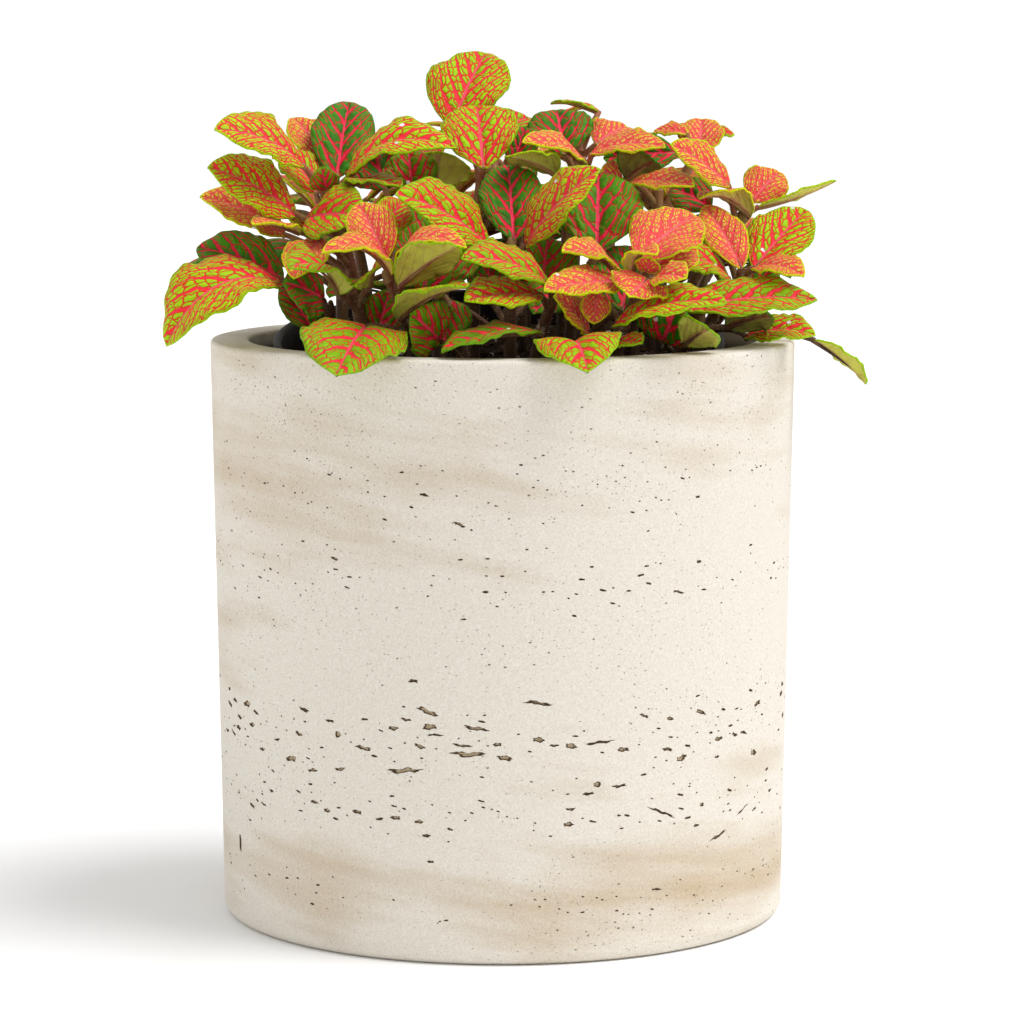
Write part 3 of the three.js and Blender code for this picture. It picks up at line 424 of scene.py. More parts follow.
# The growing pot: thin moulded plastic with a rolled lip, tilted toward the front inside the
# planter, so that its rim shows at the left.
POT_RIM_RADIUS = 60
POT_FOOT_RADIUS = 41
POT_HEIGHT = 106
POT_WALL = 1.1
POT_FLOOR = 1.2 * POT_WALL
POT_LIP = 2.1
POT_LIP_HEIGHT = 5
POT_LIP_DRAFT = 0.4
POT_LEAN = math.radians(9)
POT_RIM_CENTRE = (-1, 0, 153)
POT_SIDES = 128
POT_EDGE = 0.8

inner_lip = POT_RIM_RADIUS - POT_LIP
pot_slope = (inner_lip - POT_FOOT_RADIUS) / POT_HEIGHT
under_lip = inner_lip - pot_slope * POT_LIP_HEIGHT
bpy.ops.object.select_all(action="DESELECT")
body_height = (POT_HEIGHT - POT_LIP_HEIGHT) * MM
bpy.ops.mesh.primitive_cylinder_add(
    vertices=POT_SIDES,
    radius=under_lip * MM,
    depth=body_height,
    location=(0, 0, -POT_LIP_HEIGHT * MM - body_height / 2),
)
pot = added("growing_pot")
bpy.ops.object.mode_set(mode="EDIT")
pick(pot, "faces", lambda face: face.normal.z < -0.5)
foot_scale = POT_FOOT_RADIUS / under_lip
bpy.ops.transform.resize(value=(foot_scale, foot_scale, 1), center_override=(0, 0, 0))
pick(pot, "faces", lambda face: face.normal.z > 0.5)

# Out under the lip, up its outside, in over its top, down its inside and down to the floor
reached = under_lip
for rise, radius in (
    (0, POT_RIM_RADIUS - POT_LIP_DRAFT),
    (POT_LIP_HEIGHT, POT_RIM_RADIUS),
    (0, inner_lip),
    (-POT_LIP_HEIGHT, inner_lip - POT_WALL),
    (POT_LIP_HEIGHT + POT_FLOOR - POT_HEIGHT, POT_FOOT_RADIUS - POT_WALL),
):
    bpy.ops.mesh.extrude_region_move(TRANSFORM_OT_translate={"value": (0, 0, rise * MM)})
    bpy.ops.transform.resize(value=(radius / reached, radius / reached, 1), center_override=(0, 0, 0))
    reached = radius
pick(
    pot,
    "edges",
    lambda edge: level_ring(edge, 0, POT_RIM_RADIUS * MM) or level_ring(edge, 0, inner_lip * MM),
)
bpy.ops.mesh.bevel(offset=POT_EDGE * MM, segments=3, affect="EDGES")
bpy.ops.mesh.select_all(action="SELECT")
bpy.ops.transform.rotate(value=-POT_LEAN, orient_axis="X", center_override=(0, 0, 0))
bpy.ops.transform.translate(value=[c * MM for c in POT_RIM_CENTRE])
bpy.ops.object.mode_set(mode="OBJECT")
bpy.ops.object.shade_smooth_by_angle(angle=math.radians(30))

plastic, tree, inputs = new_material("growing_pot_plastic", Roughness=0.6, Specular_IOR_Level=0.2)
place = object_place(tree)
dusty = ((noise(tree, place, 60, 4, 0.6) - 0.45) * 3).clamped()
feed(tree, dusty.mixed(paint(24, 18, 18), paint(66, 50, 52)), inputs["Base Color"])
feed(tree, 0.5 + dusty * 0.3, inputs["Roughness"])
bumped(tree, inputs, noise(tree, place, 400, 2), 0.05 * MM)
pot.data.materials.append(plastic)
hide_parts("nursery_pot")
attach(pot, "root")

# The potting soil: dark peat with bark crumbs and white perlite. It fills the growing pot to 9 mm
# below its rim and leans with it.
SOIL_BELOW_RIM = 9
SOIL_BUMP = 1.6
SOIL_GAP = 0.3
SOIL_SEED = 3
SOIL_SIDES = 72
SOIL_RINGS = 22
SOIL_RING_WIDTH = 2.2


def soil_level(y):
    """How high the soil would stand if it were even."""
    return POT_RIM_CENTRE[2] - SOIL_BELOW_RIM + y * math.tan(POT_LEAN)


def soil_height(x, y):
    return soil_level(y) + SOIL_BUMP * math.sin(x * 0.21 + 1) * math.cos(y * 0.17)


soil_depth = POT_HEIGHT - SOIL_BELOW_RIM - POT_FLOOR - SOIL_GAP
soil_top_radius = inner_lip - POT_WALL - SOIL_GAP - pot_slope * (SOIL_BELOW_RIM + 2) - 0.4
bpy.ops.object.select_all(action="DESELECT")
bpy.ops.mesh.primitive_cylinder_add(
    vertices=SOIL_SIDES,
    radius=soil_top_radius * MM,
    depth=soil_depth * MM,
)
soil = added("potting_soil_heap")
bpy.ops.object.mode_set(mode="EDIT")
pick(soil, "faces", lambda face: face.normal.z < -0.5)
bottom_scale = (POT_FOOT_RADIUS - POT_WALL - 2 * SOIL_GAP) / soil_top_radius
bpy.ops.transform.resize(value=(bottom_scale, bottom_scale, 1), center_override=(0, 0, 0))
pick(soil, "faces", lambda face: face.normal.z > 0.5)
for _ in range(SOIL_RINGS):
    bpy.ops.mesh.inset(thickness=SOIL_RING_WIDTH * MM)
bpy.ops.mesh.select_all(action="SELECT")
bpy.ops.transform.rotate(value=-POT_LEAN, orient_axis="X", center_override=(0, 0, 0))
below_rim = SOIL_BELOW_RIM + soil_depth / 2
soil_middle = (
    POT_RIM_CENTRE[0],
    POT_RIM_CENTRE[1] + below_rim * math.sin(POT_LEAN),
    POT_RIM_CENTRE[2] - below_rim * math.cos(POT_LEAN),
)
bpy.ops.transform.translate(value=[c * MM for c in soil_middle])
bpy.ops.object.mode_set(mode="OBJECT")
soil_random = np.random.default_rng(SOIL_SEED)
for vert in soil.data.vertices:
    x, y = vert.co.x / MM, vert.co.y / MM
    level = soil_level(y)
    if abs(vert.co.z / MM - level) < 3:
        inward = max(1 - (math.hypot(x - POT_RIM_CENTRE[0], y) / soil_top_radius) ** 4, 0)
        crumb = soil_random.normal() * 0.45
        vert.co.z = (level + (soil_height(x, y) - level + crumb) * inward) * MM
soil.data.materials.append(rough_material("peat", paint(34, 24, 18), paint(84, 60, 42), 420, 0.9 * MM))

bpy.ops.object.select_all(action="DESELECT")
bpy.ops.mesh.primitive_ico_sphere_add(subdivisions=1, radius=1)
crumb_form = bpy.context.active_object
round_points = np.array([vert.co for vert in crumb_form.data.vertices])
bark = rough_material("bark", paint(40, 26, 18), paint(110, 74, 48), 300, 0.5 * MM)
perlite_white = rough_material("perlite_white", paint(214, 208, 196), paint(250, 248, 242), 900, 0.2 * MM)
# How many there are of each kind, their least and greatest radius, how flat they lie, and their skin
crumbs = {
    "bark_crumbs": (420, 0.9, 2.6, 0.55, bark),
    "perlite": (150, 0.7, 1.7, 0.9, perlite_white),
}
for name, (count, smallest, largest, flatness, skin) in crumbs.items():
    pieces = []
    for _ in range(count):
        radius = soil_top_radius * 0.96 * math.sqrt(soil_random.uniform())
        angle = soil_random.uniform(0, 2 * math.pi)
        x, y = POT_RIM_CENTRE[0] + radius * math.cos(angle), radius * math.sin(angle)
        size = soil_random.uniform(smallest, largest) * soil_random.uniform(0.5, 1)
        stretch = size * np.array([1, soil_random.uniform(0.5, 1), flatness * soil_random.uniform(0.6, 1)])
        lumps = 1 + soil_random.normal(size=(len(round_points), 1)) * 0.12
        tilt = Matrix.Rotation(soil_random.normal() * 0.4, 3, "X")
        turn = np.array(Matrix.Rotation(angle * 7, 3, "Z") @ tilt)
        points = (round_points * lumps * stretch) @ turn.T + [x, y, soil_height(x, y) + size * 0.15]
        piece = copy_of(crumb_form, name)
        piece.data.vertices.foreach_set("co", (points * MM).ravel())
        pieces.append(piece)
    only(*pieces)
    bpy.ops.object.join()
    bpy.context.active_object.name = name
    bpy.context.active_object.data.materials.append(skin)
    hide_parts("potting_soil")
    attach(bpy.context.active_object, "root")
bpy.data.objects.remove(crumb_form)
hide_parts("potting_soil")
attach(soil, "root")

# The shoots: a nerve plant grows in short soft stems. Its leaves stand in opposite pairs, each pair
# turned a quarter from the one below, pink while young, then lime and at last dark green, with a
# net of coloured veins. The stems in front lie where the photographed ones do, so each has its
# leaves in a table: where the blade starts and ends, its width, the way its upper side faces, how
# far the midrib arches, how far its halves are raised in degrees, and its age. Sizes are in mm.
YOUNG = 0
MID = 1
MATURE = 2
FRONT_SHOOTS = [
    # upper left
    ((-36, -14), (-46, -13, 192), [
        ((-52, -14, 199), (-74, -28, 209), 18, (0.1, -0.65, 0.8), 3, 8, MID),
        ((-54, -14, 185.5), (-76, -24, 199), 19, (0.2, -0.7, 0.75), 2, 8, MID),
        ((-57, -8, 180), (-79, -14, 191), 15, (0.2, -0.6, 0.8), 2, 8, YOUNG),
        ((-51, -18, 183.5), (-63.5, -32, 186), 11, (0, -0.25, 1), 1, 8, YOUNG),
        ((-43.5, -8, 195), (-41, 14, 215), 17, (0, -0.7, 0.7), 2, 8, MATURE),
        ((-41, -12, 195), (-12, -22, 204), 18, (0, -0.5, 0.9), 7, 8, MID),
        ((-46, 0, 196), (-56, 12, 211), 14, (0.3, -0.6, 0.7), 2, 8, YOUNG),
        ((-49, -10, 191), (-59, -4, 203), 14, (0.5, -0.6, 0.5), 1, 8, MID),
        ((-46, -15, 193), (-47, -19, 199), 8, (0, -1, 0.3), 1, 8, MATURE),
        ((-41, -16, 194), (-26, -28, 194), 14, (0, -0.1, 1), 1, 8, MID),
        ((-52, -20, 184.5), (-35.5, -34, 187), 18, (0.1, -0.8, 0.5), 1, 8, MID),
        ((-47, -26, 182), (-52, -40, 174), 13, (-0.2, -0.8, 0.6), 1, 8, YOUNG),
    ]),
    # pink rosette left of the middle, with the leaf that hangs over the rim
    ((-20, -40), (-28, -49, 170), [
        ((-29, -47, 176), (-37, -38, 190), 13, (0.1, -0.9, 0.4), 2, 8, YOUNG),
        ((-30.5, -42, 183), (-26, -32, 191), 10, (0.2, -0.9, 0.3), 1, 8, MID),
        ((-29, -50, 172), (-45, -62, 179), 12, (0.2, -0.3, 1), 5, 8, YOUNG),
        ((-27, -50, 173), (-9, -60, 180), 12, (-0.2, -0.35, 1), 6, 8, YOUNG),
        ((-26, -54, 170), (-11, -66, 181), 16, (-0.4, 0.9, 0.6), 1, 8, MID),
        ((-26, -52, 163), (-9, -70, 170), 18, (-0.3, 0.2, 1), 2, 8, MID),
        ((-25, -53, 164), (-22, -55, 168), 4, (0, -1, 0.2), 0, 8, YOUNG),
        ((-34, -52, 160), (-40.3, -90, 150.8), 27, (0, -0.75, 0.65), 2, 6, MID),
    ]),
    # behind it, left
    ((-33, -29), (-38, -36, 166), [
        ((-38, -42, 167), (-51, -56, 175), 20, (0.2, -0.3, 1), 4, 8, MID),
        ((-38, -44, 167), (-35, -50, 176), 12, (-1, 0.5, 0.3), 1, 8, MID),
        ((-32, -30, 157), (-29, -34, 168), 12, (0, -1, 0.2), 1, 8, MATURE),
    ]),
    # the two large leaves that reach out to the left
    ((-46, -18), (-45, -22, 160), [
        ((-56.5, -28, 169), (-86, -40, 154), 26, (-0.5, -0.6, 0.65), 9, 8, MID),
        ((-57, -20, 170), (-80, -12, 178), 17, (0.2, -0.8, 0.6), 2, 8, MATURE),
        ((-49, -26, 157), (-57.5, -23, 168.5), 9, (0.2, -0.9, 0.3), 1, 8, MATURE),
        ((-46, -30, 165), (-56, -38, 170), 18, (0.1, -0.8, 0.6), 1, 8, MATURE),
    ]),
    # the tallest shoot, in the middle
    ((-8, 2), (-6, 2, 193), [
        ((-13.5, 14, 208), (-4.5, 34, 228), 23, (-0.1, -0.75, 0.65), 2, 8, MID),
        ((-5, -6, 198), (-7, 14, 214), 21, (0, -0.75, 0.65), 2, 8, MID),
        ((-1, 20, 206), (7, 30, 211), 14, (0, -0.6, 0.8), 1, 8, MID),
        ((3, 13, 198), (6, 18, 208), 9, (0, -0.9, 0.3), 1, 8, MATURE),
    ]),
    # darker leaves seen between the two before
    ((-24, 5), (-25, 4, 186), [
        ((-31, 6, 192), (-34, 12, 202), 19, (0, -1, 0.3), 1, 8, MATURE),
        ((-24, 6, 191), (-25, 10, 202), 15, (0, -1, 0.3), 1, 8, MATURE),
        ((-18, 8, 192), (-17, 4, 202), 19, (0, 1, 0.4), 1, 8, MID),
    ]),
    # top, right of the middle
    ((18, 4), (21, 2, 196), [
        ((22, 0, 198), (5, -14, 204), 11, (0.1, -0.5, 0.85), 3, 8, YOUNG),
        ((14, -2, 196), (2, -16, 202), 14, (0, 0.3, 1), 1, 8, MID),
        ((23.5, 0, 200), (43, -8, 202.5), 13, (0, -0.45, 0.9), 2, 8, YOUNG),
    ]),
    # top, behind it
    ((16, 20), (20, 22, 200), [
        ((16.5, 14, 201), (14.5, 28, 212.5), 18, (0, -0.7, 0.7), 1, 8, MATURE),
        ((25, 20, 203.5), (34, 30, 208), 13, (0, -0.6, 0.8), 1, 8, YOUNG),
        ((26.5, 30, 212), (13, 34, 214.5), 7, (0, 0.04, 1), 1, 8, MID),
    ]),
    # middle: two long leaves in a V, with dark ones behind
    ((2, -22), (2, -24, 176), [
        ((-2.5, -28, 177), (-27, -44, 193), 21, (0.1, -0.65, 0.75), 3, 8, MID),
        ((3, -22, 179), (1, -2, 200), 17, (0, -0.85, 0.5), 2, 8, MATURE),
        ((6, -26, 178.5), (25, -34, 199), 18, (-0.3, -0.6, 0.75), 2, 8, MID),
        ((-21, -26, 165), (-16, -14, 188), 27, (0.2, -0.9, 0.4), 1, 8, MATURE),
        ((10, -14, 166), (12, -8, 180), 18, (0, -0.9, 0.4), 1, 8, MATURE),
        ((-3, -10, 163), (-4, -6, 175), 12, (0, -0.9, 0.4), 1, 8, MATURE),
    ]),
    # the large dark leaf facing the viewer
    ((20, -18), (23, -19, 172), [
        ((24.5, -22, 177.5), (25, -7, 196.5), 24, (0, -0.8, 0.6), 1, 8, MATURE),
        ((20, -26, 167), (8, -36, 162), 18, (0, -0.4, 0.9), 2, 8, MATURE),
        ((31, -28, 162), (34, -12, 178), 20, (0, -0.9, 0.4), 1, 8, MATURE),
    ]),
    # pink rosette right of the middle, with the second leaf over the rim
    ((27, -38), (36, -52, 171), [
        ((34.5, -48, 176.5), (49.5, -34, 187), 20, (-0.3, -0.8, 0.5), 1, 8, YOUNG),
        ((29, -46, 173), (15, -56, 179), 13, (0.1, -0.4, 0.9), 3, 8, YOUNG),
        ((31.5, -52, 171), (10.5, -68, 170), 13, (0, -0.55, 0.8), 1, 8, YOUNG),
        ((37, -56, 173), (32, -66, 168), 16, (0, -0.8, 0.6), 0, 8, YOUNG),
        ((38, -56, 173), (46, -64, 173), 12, (0, -0.5, 0.8), 1, 8, YOUNG),
        ((36, -56, 172), (37, -58, 177), 7, (0, -1, 0.2), 0, 8, YOUNG),
        ((33, -52, 173), (39, -60, 178), 10, (0, -0.3, 1), 3, 8, YOUNG),
        ((38, -46, 174), (48, -36, 181), 15, (0, -0.9, 0.5), 1, 8, YOUNG),
        ((27.5, -56, 161), (55.5, -70, 168), 16, (-0.1, -0.4, 0.9), 3, 8, MID),
        ((22, -50, 158), (13, -58, 168), 12, (0.3, -0.6, 0.7), 1, 8, YOUNG),
        ((24, -54, 169), (23, -58, 161), 8, (0, -1, 0.2), 0, 8, YOUNG),
        ((17.5, -57, 155), (21, -88, 151.5), 22, (0, -0.75, 0.65), 4, 6, MID),
        ((29, -60, 157), (35, -66, 157), 8, (0, -0.5, 0.8), 0, 8, MID),
    ]),
    # low right
    ((44, -22), (50, -36, 160), [
        ((46, -38, 163), (81, -34, 165.5), 17, (0, -0.5, 0.85), 2, 8, MID),
        ((38, -42, 148), (41, -46, 156.5), 20, (0, -0.9, 0.3), 1, 8, MATURE),
        ((46, -50, 153), (52, -60, 159), 12, (0, 1, 0.3), 1, 8, MID),
        ((58, -26, 153), (70, -32, 158), 12, (0, 0.8, 0.6), 1, 8, MATURE),
    ]),
    # the leaves that lie over the right of the rim and hang outside it
    ((50, -5), (58, -13, 161), [
        ((62.5, -24, 155.5), (80.5, -30, 155), 14, (0, -0.45, 0.9), 2, 8, MID),
        ((81.5, -14, 153.7), (96, -10, 141.7), 11, (0.6, 0.3, 0.75), 1, 8, MID),
        ((63, -8, 163), (72, -4, 173), 11, (0, -0.9, 0.4), 1, 8, MATURE),
    ]),
    # right, facing the viewer
    ((50, -10), (62, -20, 170), [
        ((62, -24, 172.5), (53, -10, 188.5), 12, (0.2, -0.85, 0.5), 1, 8, YOUNG),
        ((65.5, -20, 172.5), (80.2, -4, 187.2), 17, (-0.2, -0.85, 0.5), 1, 8, MID),
        ((65, -24, 172.5), (77.5, -34, 171.5), 12, (0, -0.4, 0.9), 2, 8, YOUNG),
        ((59, -22, 170), (43, -28, 175), 16, (0, -0.5, 0.85), 3, 8, MID),
        ((56, -4, 175), (52, 0, 186), 20, (0, -1, 0.3), 1, 8, MATURE),
        ((55, -2, 188), (45.5, 4, 192.5), 12, (0, -0.8, 0.6), 1, 8, MATURE),
    ]),
    # upper right
    ((44, 4), (62, -2, 184), [
        ((58.5, -8, 191.5), (43.5, -16, 204.5), 13, (0.3, -0.7, 0.7), 1, 8, YOUNG),
        ((66, 3, 188.5), (74, 10, 196.5), 13, (0, -0.8, 0.6), 1, 8, YOUNG),
        ((66, -4, 186), (53, -14, 193), 14, (0, 0.15, 1), 3, 8, YOUNG),
        ((67, -2, 188), (88, 0, 195), 7, (0, 0.35, 1), -1, 8, MID),
    ]),
    # top right, further back
    ((34, 20), (52, 20, 200), [
        ((53, 20, 201.5), (54, 32, 211), 13, (0, -0.7, 0.7), 1, 8, YOUNG),
        ((57, 30, 207), (63, 32, 206), 6, (0, -0.5, 1), 0, 8, MID),
        ((50, 22, 205.5), (40.5, 26, 206), 8, (0, -0.4, 0.9), 1, 8, YOUNG),
        ((47, 17, 201.5), (27, 15, 200), 12, (0, -0.9, 0.4), 1, 8, MATURE),
    ]),
    # top, between the last two
    ((42, -8), (41, -4, 190), [
        ((33.5, -6, 194.5), (50, -18, 194), 11, (0, -0.5, 0.9), 1, 8, YOUNG),
        ((32, 0, 194), (40, -4, 201), 16, (0, 0.7, 0.7), 1, 8, MATURE),
        ((32, -2, 195), (26, -6, 199), 10, (0, -0.6, 0.7), 1, 8, YOUNG),
    ]),
    # front middle, low
    ((7, -38), (13, -45, 166), [
        ((13, -48, 169), (-10, -62, 178), 17, (0.1, -0.5, 0.85), 3, 8, MID),
        ((10, -50, 168), (-9, -66, 168.5), 15, (-0.1, -0.6, 0.8), 1, 8, MID),
        ((10, -62, 159), (-15, -72, 155), 16, (0, -0.1, 1), 2, 8, MATURE),
    ]),
    # dark leaves low behind the front rim
    ((-8, -44), (-13, -46, 163), [
        ((-16, -52, 156), (-23, -60, 164), 16, (0, -0.9, 0.4), 1, 8, MATURE),
        ((-13, -46, 166), (-14, -54, 155), 14, (-0.3, -0.9, 0.2), 1, 8, MATURE),
    ]),
]

BACK_SHOOTS = [
    ((-43, 8), (-43, 12, 181), 3),
    ((-36, 30), (-42, 36, 183), 2),
    ((-17, 42), (-19, 52, 184), 3),
    ((6, 46), (6, 56, 184), 2),
    ((28, 41), (31, 50, 187), 3),
    ((40, 25), (44, 29, 182), 2),
    ((-15, 21), (-24, 26, 192), 2),
    ((5, 26), (2, 36, 197), 2),
    ((51, 11), (54, 12, 168), 1),
    ((-17, -12), (-15, -6, 176), 2),
]

LEAF_SEED = 7
# On a back stem: the lowest pair's length, stalk and pitch, and what the top pair's are less or more
PAIR_LENGTH = (31, -10)
PAIR_STALK = (11, -6)
PAIR_PITCH = (4, 30)
STEM_FOOT_RADIUS = 1.9
STEM_CROWN_RADIUS = 1.3
STEM_DEPTH = 7
STALK_RADIUS = 0.95
BUD_LENGTH = 5
BUD_RADIUS = 1.7
BLADE_THICKNESS = 0.7
BLADE_CLEARANCE = 1.3


def repeatable(seed):
    """Numbers between 0 and 1, the same on each run."""
    state = seed
    while True:
        state = (state * 16807) % 2147483647
        yield state / 2147483647


def grown_rows(crown, pairs, numbers):
    """A back stem's rows, by the rule of the pairs: shorter, younger and steeper upward."""
    rows = []
    start = next(numbers) * math.pi
    for pair in range(pairs):
        rise = 1 if pairs == 1 else pair / (pairs - 1)
        for turn in (0, math.pi):
            heading = start + pair * math.pi / 2 + turn + (next(numbers) - 0.5) * 0.5
            length = (PAIR_LENGTH[0] + PAIR_LENGTH[1] * rise) * (0.9 + 0.2 * next(numbers))
            stalk = PAIR_STALK[0] + PAIR_STALK[1] * rise
            pitch = math.radians(PAIR_PITCH[0] + PAIR_PITCH[1] * rise + 16 * (next(numbers) - 0.5))
            out = np.array([math.cos(heading), math.sin(heading), 0])
            base = np.array(crown) + out * stalk + [0, 0, stalk * 0.5 - 16 * (1 - rise)]
            tip = base + length * (out * math.cos(pitch) + [0, 0, math.sin(pitch)])
            face = (-0.3 * out[0], -0.3 * out[1], 1)
            age = int((1 - rise) * 2 + 0.5)
            rows.append((base, tip, length * 0.6, face, length * 0.12, 8, age))
    return rows


numbers = repeatable(LEAF_SEED)
shoots = list(FRONT_SHOOTS)
for foot, crown, pairs in BACK_SHOOTS:
    shoots.append((foot, crown, grown_rows(crown, pairs, numbers)))


class Blades:
    """Leaf blades side by side. Every array has one row for each blade."""

    BLUNTNESS = 0.72
    EDGE_TURNS = 2.2
    EDGE_WAVE = 0.08

    def __init__(self, base, tip, face, width, arch, fold, phase):
        self.parts = (base, tip, face, width, arch, fold, phase)
        self.base, self.width, self.arch, self.fold, self.phase = base, width, arch, fold, phase
        along = tip - base
        self.length = np.linalg.norm(along, axis=1)
        self.along = along / self.length[:, None]
        up = face - self.along * np.sum(face * self.along, axis=1)[:, None]
        self.up = up / np.linalg.norm(up, axis=1)[:, None]
        self.side = np.cross(self.along, self.up)
        self.middle = (base + tip) / 2

    def chosen(self, rows):
        return Blades(*(part[rows] for part in self.parts))

    def half_width(self, t):
        return self.width[:, None] / 2 * np.abs(np.sin(np.pi * t)) ** self.BLUNTNESS

    def edge_wave(self, t, s):
        turn = self.EDGE_TURNS * 2 * np.pi * t + self.phase[:, None] + np.where(s > 0, 1.7, 0)
        return self.EDGE_WAVE * self.half_width(t) * s * s * np.sin(turn)

    def point(self, t, s, lift=0):
        """Points t of the way along the midrib, and s of the way across from -1 to 1."""
        slope = self.arch[:, None] * 4 * (1 - 2 * t) / self.length[:, None]
        normal = self.up[:, None] - self.along[:, None] * slope[..., None]
        normal = normal / np.linalg.norm(normal, axis=2)[..., None]
        reach = np.where((t > 0) & (t < 1), self.half_width(t), 0)
        fold = self.fold[:, None]
        raised = reach * np.abs(s) * np.sin(fold) + self.edge_wave(t, s) + lift
        return (
            self.base[:, None]
            + self.along[:, None] * (t * self.length[:, None])[..., None]
            + self.up[:, None] * (self.arch[:, None] * 4 * t * (1 - t))[..., None]
            + self.side[:, None] * (reach * s * np.cos(fold))[..., None]
            + normal * raised[..., None]
        )

    def height_over(self, points):
        """Where points lie over each blade: how far along, across and above, and whether they do."""
        away = points - self.base[:, None]
        t = np.sum(away * self.along[:, None], axis=2) / self.length[:, None]
        across = np.sum(away * self.side[:, None], axis=2)
        inside = np.clip(t, 0, 1)
        over = (t >= 0.02) & (t <= 0.98) & (np.abs(across) <= self.half_width(inside) + 0.8)
        surface = self.arch[:, None] * 4 * t * (1 - t) + np.abs(across) * np.sin(self.fold[:, None])
        return t, across, np.sum(away * self.up[:, None], axis=2) - surface, over


def bezier(controls, t):
    """A point on a Bezier curve through its first and last control points, or one for each t."""
    points = [np.asarray(control, dtype=float) for control in controls]
    t = np.asarray(t, dtype=float)[..., None]
    while len(points) > 1:
        points = [one + (other - one) * t for one, other in zip(points, points[1:])]
    return points[0]


def stem_controls(foot, crown):
    """The stem rises straight out of the soil and leans toward its crown."""
    x, y = foot
    start = np.array([x, y, soil_height(x, y) - STEM_DEPTH])
    end = np.array(crown, dtype=float)
    rise = end[2] - start[2]
    below = end + 0.35 * (np.array([x, y, end[2] - 0.4 * rise]) - end)
    return start, start + [0, 0, 0.55 * rise], below, end


# How far from the axis each rim reaches, and how high a leaf lies on the planter's
POT_RIM_FROM = 57
PLANTER_RIM_FROM = 65.7
PLANTER_RIM_TO = 79
ON_PLANTER_RIM = 154.5
BELOW_POT_RIM = 3


def lowest_allowed(points):
    """How low a leaf may hang: over the planter's rim, over the growing pot's, or inside it."""
    x, y = points[..., 0], points[..., 1]
    from_axis = np.hypot(x, y)
    from_pot_axis = np.hypot(x - POT_RIM_CENTRE[0], y / math.cos(POT_LEAN))
    pot_rim = POT_RIM_CENTRE[2] + y * math.tan(POT_LEAN)
    lowest = np.where(from_pot_axis > POT_RIM_FROM, pot_rim + BLADE_CLEARANCE, pot_rim - BELOW_POT_RIM)
    lowest = np.where(from_axis > PLANTER_RIM_FROM, ON_PLANTER_RIM, lowest)
    return np.where(from_axis > PLANTER_RIM_TO, -np.inf, lowest)


def shorter(vectors, most):
    """The vectors, none of them longer than that."""
    length = np.linalg.norm(vectors, axis=1)
    return vectors * np.minimum(1, most / np.maximum(length, 1e-9))[:, None]


rows = [row for _, _, leaves in shoots for row in leaves]
owner = np.array([i for i, (_, _, leaves) in enumerate(shoots) for _ in leaves])
base, tip, face = (np.array([row[column] for row in rows], dtype=float) for column in (0, 1, 3))
width, arch, fold, age = (np.array([row[column] for row in rows], dtype=float) for column in (2, 4, 5, 6))
shape = (face, width, arch, np.radians(fold), base[:, 0] + tip[:, 2])

SAMPLE_ALONG = [0.08, 0.22, 0.36, 0.5, 0.64, 0.78, 0.9, 1]
SAMPLE_ACROSS = [-0.95, -0.5, 0, 0.5, 0.95]
BENDING_STEPS = 60
# How far a blade's base and its tip may move in one step
MOST_SHIFTED = (0.8, 1.5)
# The leaves in front give way less than the ones behind
FRONT_GIVE = 0.3
give = np.where(owner < len(FRONT_SHOOTS), FRONT_GIVE, 1)
sample_t, sample_s = (grid.ravel() for grid in np.meshgrid(SAMPLE_ALONG, SAMPLE_ACROSS, indexing="ij"))
twentieths = np.arange(21) / 20
stem_lines = [stem_controls(foot, crown) for foot, crown, _ in shoots]
stem_points = np.concatenate([bezier(line, twentieths) for line in stem_lines])
stem_owner = np.repeat(np.arange(len(shoots)), len(twentieths))


def shove(shifts, leaf, t, push):
    """Shift the bases and tips of leaves so that their midribs move by that push at t."""
    share = (1 - t) ** 2 + t**2
    np.add.at(shifts[0], leaf, push * ((1 - t) / share)[:, None])
    np.add.at(shifts[1], leaf, push * (t / share)[:, None])


